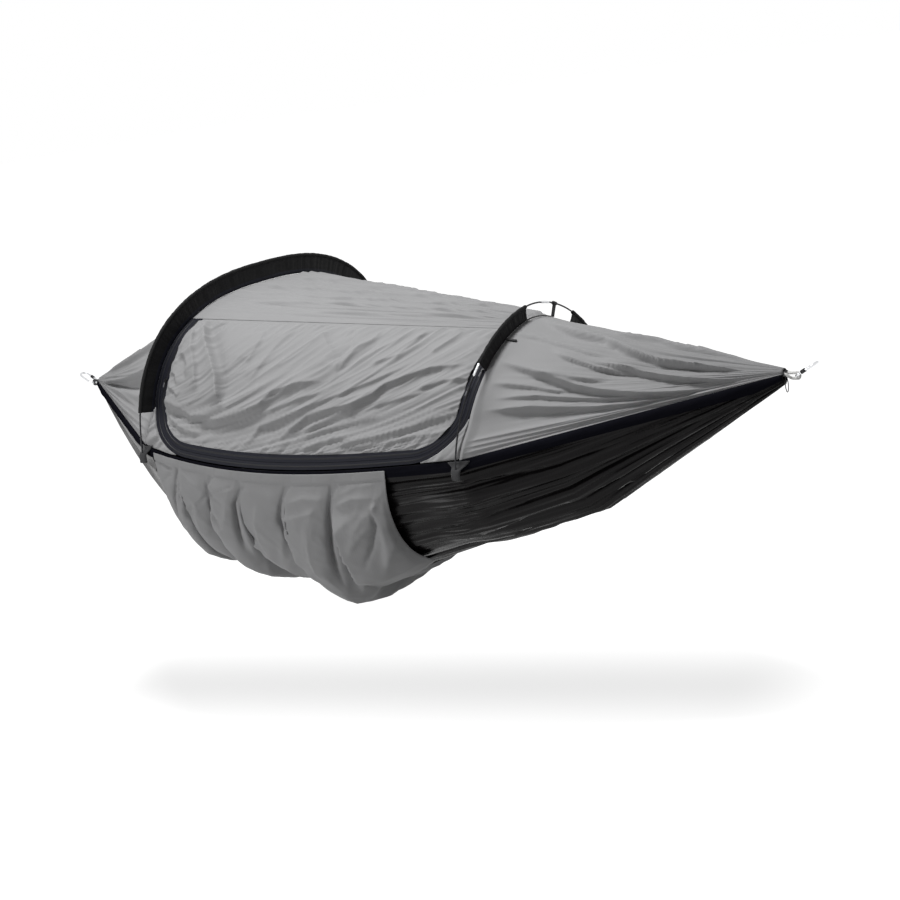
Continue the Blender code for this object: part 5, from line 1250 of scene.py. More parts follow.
        # It lies flat beside the hinge seam, clear of the roof's cloth at every pose
        calm = ease((fall - 0.008) / 0.045) * ease((1 - fall) / 0.008)
        points = raised(base, np.maximum(depth, -0.0003) * calm, base * ACROSS)
        obj = cloth("door_cloth", points, x, height, looks["cover"], sizes.cloth)
        settle(obj, "door", ["door_panel"])
        return {"FINISHED"}


class TENT_OT_net(bpy.types.Operator):
    """Hangs the insect net behind the door"""
    bl_idname = "tent.net"
    bl_label = "Insect net"

    BEHIND_DOOR = 0.0022

    def execute(self, context):
        sizes, looks = context.scene.tent_sizes, looks_of(context)
        x, height, fall = door_places(90, 36, 12)
        base = wall_grid(x, height, -self.BEHIND_DOOR)
        across = x / WALL_LENGTH
        depth = -0.007 * np.sin(math.pi * np.clip(across, 0, 1)) * np.sin(math.pi * np.clip(fall, 0, 1))
        depth += 0.0015 * wander(x, height, 0.12, 0.30, 141) * ease(from_edge(fall) / 0.2) - 0.0004
        points = raised(base, np.minimum(depth, 0.0), base * ACROSS)
        obj = cloth("net_mesh", points, x, height, looks["net"], sizes.cloth / 2)
        settle(obj, "net", ["net_panel"])
        return {"FINISHED"}


# The under pouch
def pouch_x(share):
    return HEM_HEAD.x + POUCH_FROM_ARCH + share * POUCH_LENGTH_SHARE * (HEM_FOOT.x - HEM_HEAD.x)


def drawn_back(share, hang):
    """How far the cloth is drawn towards the head, share along the pouch, where it hangs from 0 to 1."""
    from_head, from_foot = POUCH_DRAWN_SHARES
    most = POUCH_DRAWN_BACK * ease(share / from_head)
    side = blend(most, POUCH_EDGE_DRAWN_BACK, ease((share - from_foot) / (1 - from_foot))) * hang
    from_share, from_hang = POUCH_MIDDLE_SHARES
    near_edge = ease((share - from_share) / (1 - from_share))
    return float(side + POUCH_MIDDLE_DRAWN_BACK * near_edge * ease((hang - from_hang) / (1 - from_hang)))


def fullness(share, hang):
    """The share of its slack that the cloth takes between its tucks."""
    for low, high in zip(TUCK_SHARES, TUCK_SHARES[1:]):
        if share <= high[0] + 1e-9:
            between = (share - low[0]) / (high[0] - low[0])
            least = blend(blend(low[1], low[2], hang**2), blend(high[1], high[2], hang**2), between)
            most = blend(low[3], low[4], float(ease((hang - 0.6) / 0.4)))
            return least + (most - least) * max(0.0, math.sin(math.pi * between)) ** 0.7
    return TUCK_SHARES[-1][1]


class TENT_OT_pouch(bpy.types.Operator):
    """Hangs the gathered pouch under the hammock, drawn in by tucks below its stitched band"""
    bl_idname = "tent.pouch"
    bl_label = "Under pouch"

    # Lines of (share of the pouch's length, share across from its near edge), with a width and a height:
    # nipped in, then pleats that fall off steeply on the line's right, then crisp ridges
    NIPS = (
        (((0.115, 0.018), (0.112, 0.029), (0.098, 0.059), (0.055, 0.107), (0.035, 0.15)), 0.008, 0.018),
        (((0.018, 0.021), (0.112, 0.029)), 0.005, 0.01), (((0.01, 0.06), (0.107, 0.029)), 0.005, 0.01),
        (((0.28, 0.016), (0.252, 0.048), (0.262, 0.064), (0.25, 0.092), (0.262, 0.115)), 0.006, 0.024),
        (((0.375, 0.036), (0.262, 0.063), (0.15, 0.121)), 0.005, 0.012),
        (((0.235, 0.058), (0.262, 0.064), (0.337, 0.078)), 0.005, 0.011),
        (((0.259, 0.075), (0.29, 0.11), (0.325, 0.14)), 0.005, 0.01),
        (((0.425, 0.026), (0.4, 0.048), (0.376, 0.075), (0.373, 0.117), (0.368, 0.146),
          (0.359, 0.2)), 0.007, 0.026),
        (((0.618, 0.01), (0.592, 0.037), (0.575, 0.068), (0.567, 0.098), (0.577, 0.118), (0.592, 0.147),
          (0.61, 0.19), (0.645, 0.24)), 0.007, 0.028),
        (((0.805, 0.01), (0.787, 0.048), (0.783, 0.073), (0.782, 0.12), (0.769, 0.186),
          (0.745, 0.285)), 0.008, 0.032),
        (((0.941, 0.075), (0.95, 0.12), (0.925, 0.165), (0.87, 0.225)), 0.008, 0.014),
    )
    PLEATS = (
        (((0.75, 0.34), (0.83, 0.255), (0.85, 0.2), (0.832, 0.128), (0.806, 0.09),
          (0.795, 0.06)), 0.016, 0.026),
        (((0.66, 0.26), (0.625, 0.19), (0.607, 0.147), (0.592, 0.118), (0.585, 0.09),
          (0.592, 0.062)), 0.012, 0.016),
        (((0.375, 0.22), (0.386, 0.146), (0.388, 0.1), (0.395, 0.07)), 0.01, 0.014),
        (((0.28, 0.17), (0.278, 0.12), (0.275, 0.08)), 0.01, 0.012),
        (((0.06, 0.15), (0.11, 0.09), (0.13, 0.05)), 0.01, 0.01),
        (((0.93, 0.235), (0.96, 0.17), (0.965, 0.11)), 0.012, 0.01),
        (((0.48, 0.23), (0.462, 0.16), (0.47, 0.1), (0.48, 0.06)), 0.014, 0.007),
        (((0.7, 0.25), (0.69, 0.17), (0.7, 0.1)), 0.014, 0.008),
        (((0.19, 0.19), (0.185, 0.13), (0.2, 0.08)), 0.012, 0.008),
    )
    RIDGES = (
        (((0.385, 0.13), (0.406, 0.17), (0.457, 0.205)), 0.009, 0.01),
        (((0.12, 0.022), (0.18, 0.045), (0.245, 0.061)), 0.008, 0.009),
        (((0.27, 0.06), (0.33, 0.048), (0.4, 0.038)), 0.007, 0.009),
        (((0.59, 0.062), (0.678, 0.044), (0.78, 0.048)), 0.009, 0.009),
        (((0.58, 0.092), (0.66, 0.084), (0.763, 0.063)), 0.009, 0.008),
        (((0.8, 0.067), (0.876, 0.051), (0.979, 0.054)), 0.009, 0.011),
        (((0.81, 0.042), (0.891, 0.027), (0.99, 0.024)), 0.008, 0.007),
        (((0.96, 0.064), (0.945, 0.085), (0.94, 0.105)), 0.006, 0.01),
        (((0.86, 0.16), (0.9, 0.13), (0.945, 0.11)), 0.009, 0.008),
    )
    STITCHES = (0.04, 0.12, 0.205, 0.29, 0.37, 0.45, 0.50, 0.56, 0.62, 0.71, 0.80, 0.87)
    # Gathers along the seam that is drawn up most, and the frill at the foot edge, in metres along and down
    RUCHES = (
        (((0.452, 0.11), (0.445, 0.15), (0.453, 0.19), (0.47, 0.26)), 0.009, 0.02, 0.0045, 231),
        (((0.735, 0.085), (0.785, 0.1)), 0.009, 0.016, 0.006, 233),
    )
    # The flat cloth, over which the shares become metres, and what sets its two sides' noise apart
    LONG, WIDE, FAR_SIDE_NOISE = 0.785, 1.55, 31.0

    def execute(self, context):
        sizes, looks = context.scene.tent_sizes, looks_of(context)
        shares, places = self.lines()
        base, stands_off = self.slack(shares, places)
        share, place = over_grid(shares, places)
        x, down = share * self.LONG, from_edge(place) * self.WIDE
        far = np.where(place < 0.5, 0.0, self.FAR_SIDE_NOISE)
        depth = self.relief(x, down, sizes.pouch_pleat / 0.0052, far)
        # The rolled edges at the head and foot
        edge = from_edge(share) * self.LONG
        depth = depth * (0.85 * ease(edge / 0.016) + 0.15)
        depth += 0.0022 * np.exp(-((edge / 0.005) ** 2)) + 0.0008 * (edge < 0.012)
        # The stitched band at the top edge: a raised hem, the seam's groove under it and stitches across it
        depth += np.where(down < 0.028, 0.0012, 0.0) - 0.0022 * np.exp(-(((down - 0.0305) / 0.0022) ** 2))
        for spot in self.STITCHES:
            line = [(spot * self.LONG, 0.003), (spot * self.LONG + 0.002, 0.027)]
            depth -= pinch(x, down, line, 0.0024, 0.0014, 0.1, 0.1)
        # Nothing is drawn in further than the hammock and its band allow
        seat = blend(0.0066, 0.0034, ease((down - 0.024) / 0.012))
        points = raised(base, np.maximum(depth, seat - stands_off), DOWN)
        obj = cloth("pouch_cloth", points, x, down, looks["cover"], sizes.cloth)
        settle(obj, "tent", ["under_pouch"])
        return {"FINISHED"}

    def lines(self):
        """The mesh's lines: shares of the length, one at each tuck, and shares across, denser at the edges."""
        shares = []
        for (low, *_), (high, *_) in zip(TUCK_SHARES, TUCK_SHARES[1:]):
            steps = max(8, round((high - low) * 200))
            shares += [blend(low, high, k / steps) for k in range(steps)]
        half = np.linspace(0, 1, 100) ** 1.3 / 2
        return np.array([*shares, 1.0]), np.concatenate([half, 1 - half[-2::-1]])

    def slack(self, shares, places):
        """The points of the slack cloth without its relief, and how far each stands off the hammock."""
        rows, outs = [], []
        for share in shares:
            x = pouch_x(share)
            first = math.asin((POUCH_BELOW_HEM / (hem(x).z - bottom_z(x))) ** (section_power(x) / 2))
            turns = [blend(first, math.pi - first, place) for place in places]
            hangs = [math.sin(turn) for turn in turns]
            out = [POUCH_SEAT + POUCH_SLACK * fullness(share, hang) * hang**1.2 for hang in hangs]
            rows.append([shell(x - drawn_back(share, hang), *spot) for hang, *spot in zip(hangs, turns, out)])
            outs.append(out)
        return np.array(rows), np.array(outs)

    def relief(self, x, down, scale, far):
        """The cloth's tucks, pleats, ridges, gathers and crumples."""
        # The cloth stands off between its tucks
        depth = 0.010 * ease((down - 0.024) / 0.05) * (1 - 0.6 * ease((down - 0.35) / 0.3))
        for path, width, tall in self.NIPS:
            line = stretched(path, self.LONG, self.WIDE)
            depth -= scale * pinch(x, down, line, 0.6 * width, tall, 0.06, 0.40)
        for path, width, tall in self.PLEATS:
            line = stretched(path, self.LONG, self.WIDE)
            depth += scale * crease(x, down, line, 0.6 * width, tall, 3.4, 0.4, 0.25)
        for path, width, tall in self.RIDGES:
            depth += scale * pinch(x, down, stretched(path, self.LONG, self.WIDE), width, tall, 0.25, 0.35)
        for gathers in self.RUCHES:
            depth += ruche(x, down, *gathers)
        below = ease((down - 0.030) / 0.010) * np.exp(-np.maximum(down - 0.04, 0) / 0.05)
        depth += 0.0030 * below * wander(x + far, down, 0.026, 0.35, 201)
        depth += 0.0045 * ease((down - 0.05) / 0.10) * wander(x + far + 0.35 * down, down, 0.12, 0.28, 211)
        folds = 0.0050 * streaks(x + far + 0.25 * down, down, 0.090, 0.22, 215)
        folds += 0.0022 * streaks(x + far - 0.5 * down, down, 0.050, 0.10, 219)
        depth += folds * ease((down - 0.04) / 0.05)
        # Under the band the cloth lies nearly flat, so that only the tucks' lines show there
        return np.where(depth > 0, depth * blend(0.25, 1.0, ease((down - 0.03) / 0.17)), depth)


# Poles, ferrules and sleeves
class TENT_OT_poles(bpy.types.Operator):
    """Bends the eight pole sections and fits the ferrules over their joints"""
    bl_idname = "tent.poles"
    bl_label = "Poles and ferrules"

    SECTIONS = ("near_foot", "near_shoulder", "far_shoulder", "far_foot")
    # Half the gap between two sections, and a ferrule's places along it with its share of the radius at each
    HALF_GAP = 0.0005
    FERRULE_LINE = ((-1.0, 0.96), (-0.96, 1.0), (-0.5, 1.0), (0.0, 1.0), (0.5, 1.0), (0.96, 1.0), (1.0, 0.96))

    def execute(self, context):
        looks = looks_of(context)
        for prefix, arch in (("head", HEAD_ARCH), ("foot", FOOT_ARCH)):
            gaps = [arch.per_metre(turn) * self.HALF_GAP for turn in arch.joints]
            lows = [0.0, *(turn + gap for turn, gap in zip(arch.joints, gaps))]
            highs = [*(turn - gap for turn, gap in zip(arch.joints, gaps)), math.pi]
            for place, low, high in zip(self.SECTIONS, lows, highs):
                name = f"{prefix}_pole_{place}"
                path = [arch.point(turn) for turn in np.linspace(low, high, 36)]
                settle(tube(f"{name}_tube", path, POLE / 2, 16, [looks["pole"]]), "tent", [name])
            for place, turn in zip(("near", "top", "far"), arch.joints):
                name = f"{prefix}_ferrule_{place}"
                reach = arch.per_metre(turn) * FERRULE_LENGTH / 2
                path = [arch.point(turn + reach * share) for share, _ in self.FERRULE_LINE]
                swell = [radius for _, radius in self.FERRULE_LINE]
                obj = tube(f"{name}_tube", path, FERRULE / 2, 20, [looks["ferrule"]], swell=swell)
                settle(obj, "tent", [name])
        return {"FINISHED"}


def sleeve_mesh(name, arch, turn_from, turn_to, looks, gather, seed, steps, binding=0.0):
    """A pole tunnel on a flat web, drawn up in small gathers; binding is the web's share in another cloth."""
    mouth = math.asin(WEB_THICK / 2 / TUNNEL_OUTER)
    round_end = TUNNEL_OUTER * math.cos(mouth)
    sides, web_steps = 14, 9
    turns = np.linspace(turn_from, turn_to, steps)
    lengths = [(arch.point(b) - arch.point(a)).length for a, b in zip(turns, turns[1:])]
    runs = np.concatenate([[0.0], np.cumsum(lengths)])
    puckers = wander(runs, np.zeros_like(runs), 0.011, 1.0, seed)
    waves = wander(runs, np.zeros_like(runs), 0.055, 1.0, seed + 9)
    sections, uvs = [], []
    for turn, run, pucker, wave in zip(turns, runs, puckers, waves):
        centre, inward, normal = arch.point(turn), arch.inward(turn), arch.normal
        foot = arch.inset(turn) - CLOTH / 2 - WEB_STANDS_OFF
        web = []
        for share in np.linspace(0, 1, web_steps):
            wobble = gather * pucker * math.sin(math.pi * min(1.0, share + 0.08))
            wobble += 0.8 * gather * wave * math.sin(math.pi * share)
            web.append((centre + inward * blend(round_end, foot, share), wobble))
        section = [point + normal * (wobble - WEB_THICK / 2) for point, wobble in reversed(web)]
        for k in range(1, sides):
            angle = blend(-mouth, mouth - 2 * math.pi, k / sides)
            spoke = inward * math.cos(angle) + normal * math.sin(angle)
            section.append(centre + spoke * TUNNEL_OUTER * (1.0 + 0.10 * pucker))
        section += [point + normal * (wobble + WEB_THICK / 2) for point, wobble in web]
        sections.append(section)
        uvs += [(run, k * 0.007) for k in range(len(section))]
    count = len(sections[0])
    bound = round(binding * (web_steps - 1))
    kinds = [1 if k < bound or k >= count - 1 - bound else 0 for k in range(count)]
    return swept(name, sections, looks, kinds, uvs)


class TENT_OT_sleeves(bpy.types.Operator):
    """Sews the gathered pole sleeves on the arches"""
    bl_idname = "tent.sleeves"
    bl_label = "Pole sleeves"

    def execute(self, context):
        sizes, looks = context.scene.tent_sizes, looks_of(context)
        cloths, gather = [looks["sleeve"], looks["zip"]], sizes.sleeve_gather
        head_end = math.pi - HEAD_SLEEVE_TURN
        half = FOOT_ARCH.per_metre(STRAP_TURN) * STRAP_WIDTH / 2
        strap = [looks["webbing"]] * 2
        for name, node, slot, *shape in (
            ("head_sleeve", "head_arch_sleeve", "sleeve_fabric",
             HEAD_ARCH, HEAD_SLEEVE_TURN, head_end, cloths, gather, 301, 420, 0.26),
            ("foot_sleeve_near_side", "foot_sleeve_near", "sleeve_fabric",
             FOOT_ARCH, FOOT_SLEEVE_FROM, FOOT_SLEEVE_TO, cloths, gather, 311, 110),
            ("foot_sleeve_far_side", "foot_sleeve_far", "sleeve_fabric",
             FOOT_ARCH, FAR_SLEEVE_FROM, FAR_SLEEVE_TO, cloths, gather, 321, 80),
            ("ridge_strap_loop", "ridge_strap", "webbing",
             FOOT_ARCH, STRAP_TURN - half, STRAP_TURN + half, strap, 0.0002, 331, 12),
        ):
            settle(sleeve_mesh(name, *shape), "tent", [node])
        return {"FINISHED"}


class TENT_OT_pockets(bpy.types.Operator):
    """Folds the webbing pockets that take the pole feet"""
    bl_idname = "tent.pockets"
    bl_label = "Pole pockets"

    # Height above the pole's foot, half width of the webbing, and its lean from the band (0) to the pole (1)
    OUTLINE = (
        (0.0385, 0.03, 0.0), (0.035, 0.029, 0.0), (0.029, 0.024, 0.05), (0.0235, 0.0185, 0.3),
        (0.0185, 0.0155, 0.8), (0.012, 0.015, 1.0), (0.004, 0.015, 1.0), (-0.002, 0.0148, 1.0),
        (-0.009, 0.0135, 1.0), (-0.012, 0.0105, 1.0),
    )
    # How far each layer bulges round the pole, closes in below it, and stands off the band: outer, then inner
    LAYERS = (("outer", 0.0052, -0.0030, 0.0028), ("inner", -0.0052 * 0.9, 0.0030, 0.0016))
    PLACES = (
        ("head_near", HEAD_ARCH, NEAR), ("head_far", HEAD_ARCH, FAR),
        ("foot_near", FOOT_ARCH, NEAR), ("foot_far", FOOT_ARCH, FAR),
    )
    THICK, CLOSES_BELOW = 0.0016, -0.003

    def execute(self, context):
        looks = looks_of(context)
        for prefix, arch, side in self.PLACES:
            webs = []
            for layer, bulge, closes, stands_off in self.LAYERS:
                points = self.layer_points(arch, side, bulge, closes, stands_off)
                name = f"{prefix}_{layer}_web"
                web = cloth(name, points, points[..., 0], points[..., 2], looks["webbing"], self.THICK)
                context.view_layer.update()
                thick = web.evaluated_get(context.evaluated_depsgraph_get())
                solid = bpy.data.meshes.new_from_object(thick)
                bpy.data.objects.remove(web)
                webs.append(bpy.data.objects.new(name, solid))
            settle(joined(f"{prefix}_pole_pocket", webs), "tent", [f"{prefix}_pocket"])
        return {"FINISHED"}

    def layer_points(self, arch, side, bulge, closes, stands_off):
        rows = []
        for height, half, lean in self.OUTLINE:
            on_pole = arch.point(arch.turn_at_height(max(0.0, height)))
            middle = blend(arch.cloth(arch.hem_turn()).x, on_pole.x, lean)
            row = []
            for share in np.linspace(-1, 1, 11):
                x = middle + half * share
                band = -hem(x).y + BAND_STANDS_OFF + CLOTH / 2 + stands_off
                pole = -on_pole.y + bulge * math.sqrt(max(0.0, 1 - share**2))
                pole += closes if height < self.CLOSES_BELOW else 0.0
                row.append((x, -side * blend(band, pole, lean), arch.foot_z + height))
            rows.append(row)
        return np.array(rows)


class TENT_OT_ridge_trim(bpy.types.Operator):
    """Runs the ridge cord between the sleeve and the strap, and sews on the tie back tab"""
    bl_idname = "tent.ridge_trim"
    bl_label = "Ridge cord and tab"

    def execute(self, context):
        looks = looks_of(context)
        half = FOOT_ARCH.per_metre(STRAP_TURN) * STRAP_WIDTH / 2
        lift = CLOTH / 2 + CORD / 2 + SEAM_GAP
        start = FOOT_SLEEVE_TO + FOOT_ARCH.per_metre(FOOT_SLEEVE_TO) * CORD
        end = STRAP_TURN - half - FOOT_ARCH.per_metre(STRAP_TURN) * CORD / 2
        line = [FOOT_ARCH.point(turn, FOOT_ARCH.inset(turn) - lift) for turn in np.linspace(start, end, 20)]
        obj = tube("ridge_cord_braid", line, CORD / 2, 12, [looks["cord"]])
        settle(obj, "tent", ["ridge_cord"])
        turns, lengths = FOOT_ARCH.table(FOOT_ARCH.hem_turn(), math.pi - FOOT_ARCH.hem_turn())
        across = float(np.interp(TOGGLE_TURN, turns, lengths)) / lengths[-1]
        foot = FOOT_ARCH.cloth(TOGGLE_TURN) + FOOT_ARCH.normal * SEAM_GAP
        along = (end_ring(math.pi * across, CLOTH_FOOT_X) - foot).normalized()
        place = frame_of(foot, along, -FOOT_ARCH.inward(TOGGLE_TURN))
        offset = (TOGGLE_LENGTH / 2 + WEB_THICK + SEAM_GAP, 0, CLOTH + TOGGLE_THICK / 2)
        size = (TOGGLE_LENGTH, TOGGLE_WIDTH, TOGGLE_THICK)
        tab = rounded_block("tie_back_tab", size, place, offset, looks["webbing"], 0.0014)
        settle(tab, "toggle", ["tie_back_toggle"])
        return {"FINISHED"}


# Zip sliders
class TENT_OT_sliders(bpy.types.Operator):
    """Sets the zip sliders on the coils, each with its pull hanging"""
    bl_idname = "tent.sliders"
    bl_label = "Zip sliders"

    # The thickness of the casting's body, the height of the pull's axle over it, and the ears' half gap
    BODY_THICK, AXLE, EAR_ACROSS = 0.0030, 0.0039, 0.0028
    # Each block's name, size, middle and rounding in the slider's frame: X up the zip, Z out of the wall
    CASTING = (
        ("shoulders", (0.006, 0.008, BODY_THICK), (0.002, 0, 0), 0.0012),
        ("waist", (0.0075, 0.0058, BODY_THICK), (-0.0012, 0, 0), 0.0012),
        ("ear", (0.0032, 0.0014, 0.004), (0, -EAR_ACROSS, 0.003), 0.0005),
        ("ear", (0.0032, 0.0014, 0.004), (0, EAR_ACROSS, 0.003), 0.0005),
    )
    NECK = ("neck", (0.0090, 0.0036, 0.0013), (-0.0048, 0, AXLE), 0.0005)
    GRIP = ("grip", (0.0150, 0.0040, 0.0018), (-0.0160, 0, AXLE), 0.0008)
    STANDS_ON_COIL = 0.0012

    def execute(self, context):
        looks = looks_of(context)
        door_zip = ZIP_TAPE * 3 / 2 + 2 * SEAM_GAP
        net_zip = (2 * SEAM_GAP + ZIP_TAPE) / 2
        for zip_name, end, x, top, down in (
            ("door", "head", door_zip, HEAD_WALL_HEIGHT, 0.8),
            ("door", "foot", WALL_LENGTH - door_zip, FOOT_WALL_HEIGHT, 0.8),
            ("net", "foot", WALL_LENGTH - net_zip, FOOT_WALL_HEIGHT, 0.6),
        ):
            name, height, along = f"{zip_name}_slider_{end}", blend(top, ZIP_CORNER, down), x / WALL_LENGTH
            upwards = on_wall(x, height + 0.005) - on_wall(x, height - 0.005)
            normal = wall_normal(along, height / blend(HEAD_WALL_HEIGHT, FOOT_WALL_HEIGHT, along))
            out = CLOTH / 2 + self.STANDS_ON_COIL + SEAM_GAP + self.BODY_THICK / 2
            place = frame_of(on_wall(x, height, out), upwards, normal)
            blocks = [self.block(place, looks["slider"], *block) for block in self.CASTING]
            axle = [place @ Vector((0, y, self.AXLE)) for y in (-0.0030, 0.0, 0.0030)]
            pin = tube("pin", axle, 0.0008, 10, [looks["slider"]])
            settle(joined(f"{name}_casting", [*blocks, pin]), "tent", [name])
            neck = self.block(place, looks["slider"], *self.NECK)
            grip = self.block(place, looks["pull"], *self.GRIP)
            settle(joined(f"{name}_grip", [neck, grip]), f"{zip_name}_pull_{end}", [f"{name}_pull"])
        return {"FINISHED"}

    def block(self, place, look, name, size, middle, edge):
        return rounded_block(name, size, place, middle, look, edge)


# The hanging ends
def pull_and_rise(outwards):
    pull = Vector((outwards * math.cos(HANG_TILT), 0, math.sin(HANG_TILT)))
    rise = Vector((-outwards * math.sin(HANG_TILT), 0, math.cos(HANG_TILT)))
    return pull, rise


class TENT_OT_rope_ends(bpy.types.Operator):
    """Makes the rope loop, the whipping and the draw cord at each end"""
    bl_idname = "tent.rope_ends"
    bl_label = "Rope ends"

    def execute(self, context):
        looks = looks_of(context)
        for prefix, end, outwards in (("head", HEAD_END, -1.0), ("foot", FOOT_END, 1.0)):
            line = self.loop_line(end, outwards)
            look, slot = (looks["rope"], "rope_light") if outwards > 0 else (looks["cord"], "rope_dark")
            obj = tube(f"{prefix}_rope_loop", line, ROPE / 2, 18, [look])
            settle(obj, "tent", [f"{prefix}_end_loop"])
            self.ties(looks, prefix, outwards)
        return {"FINISHED"}

    def loop_line(self, end, outwards):
        """Two legs out of the gathered cloth, turning from level to upright, and the bow that joins them."""
        pull, rise = pull_and_rise(outwards)
        level = Vector((outwards, 0, 0))
        tip = end - pull * (ROPE_TIP_SPREAD / 2 + ROPE / 2)
        start = tip - level * (ROPE_LENGTH - ROPE_TIP_SPREAD)
        start.z = CHORD_Z
        legs = ([], [])
        for share in spread(0, 1, 28):
            turned = float(ease((share - TWIST_FROM_SHARE) / TWIST_SHARE))
            half = blend(ROPE_SPREAD, ROPE_TIP_SPREAD, float(ease(share))) / 2
            centre = blend(start, tip, share)
            centre.z = blend(start.z, tip.z, turned)
            for leg, sign in zip(legs, (-1, 1)):
                offset = Vector((0, sign * math.cos(turned * math.pi / 2), 0))
                offset += rise * (sign * math.sin(turned * math.pi / 2))
                leg.append(centre + offset * half)
        turns = spread(0, math.pi, 18)[1:-1]
        bow = [tip + (pull * math.sin(turn) - rise * math.cos(turn)) * ROPE_TIP_SPREAD / 2 for turn in turns]
        return legs[0] + bow + legs[1][::-1]

    def ties(self, looks, prefix, outwards):
        """The whipping round both legs of the rope, and the draw cord that hangs from it."""
        cloth_x = CLOTH_FOOT_X if outwards > 0 else CLOTH_HEAD_X
        tie_x = cloth_x + outwards * (TIE / 2 + 2 * LINK_GAP)
        round_rope = ROPE / 2 + TIE / 2 + LINK_GAP
        line = []
        for side in (1, -1):
            for turn in spread(-math.pi / 2, math.pi / 2, 14):
                across = side * (ROPE_TIP_SPREAD / 2 + round_rope * math.cos(turn))
                line.append(Vector((tie_x, across, CHORD_Z + side * round_rope * math.sin(turn))))
        obj = tube(f"{prefix}_whipping", line, TIE / 2, 12, [looks["cord"]], closed=True)
        settle(obj, "tent", [f"{prefix}_end_tie"])
        middle = CHORD_Z - (round_rope + TIE / 2 + DRAWCORD / 2 + LINK_GAP + DRAWCORD_LOOP / 2)
        top, gap = math.pi / 2, 0.12
        line = []
        for turn in np.linspace(top + gap, top + 2 * math.pi - gap, 40):
            height = middle + DRAWCORD_LOOP / 2 * math.sin(turn)
            line.append(Vector((tie_x, DRAWCORD_LOOP_HALF * math.cos(turn), height)))
        obj = tube(f"{prefix}_draw_cord", line, DRAWCORD / 2, 10, [looks["cord"]], up=Vector((1, 0, 0)))
        settle(obj, "tent", [f"{prefix}_drawcord"])


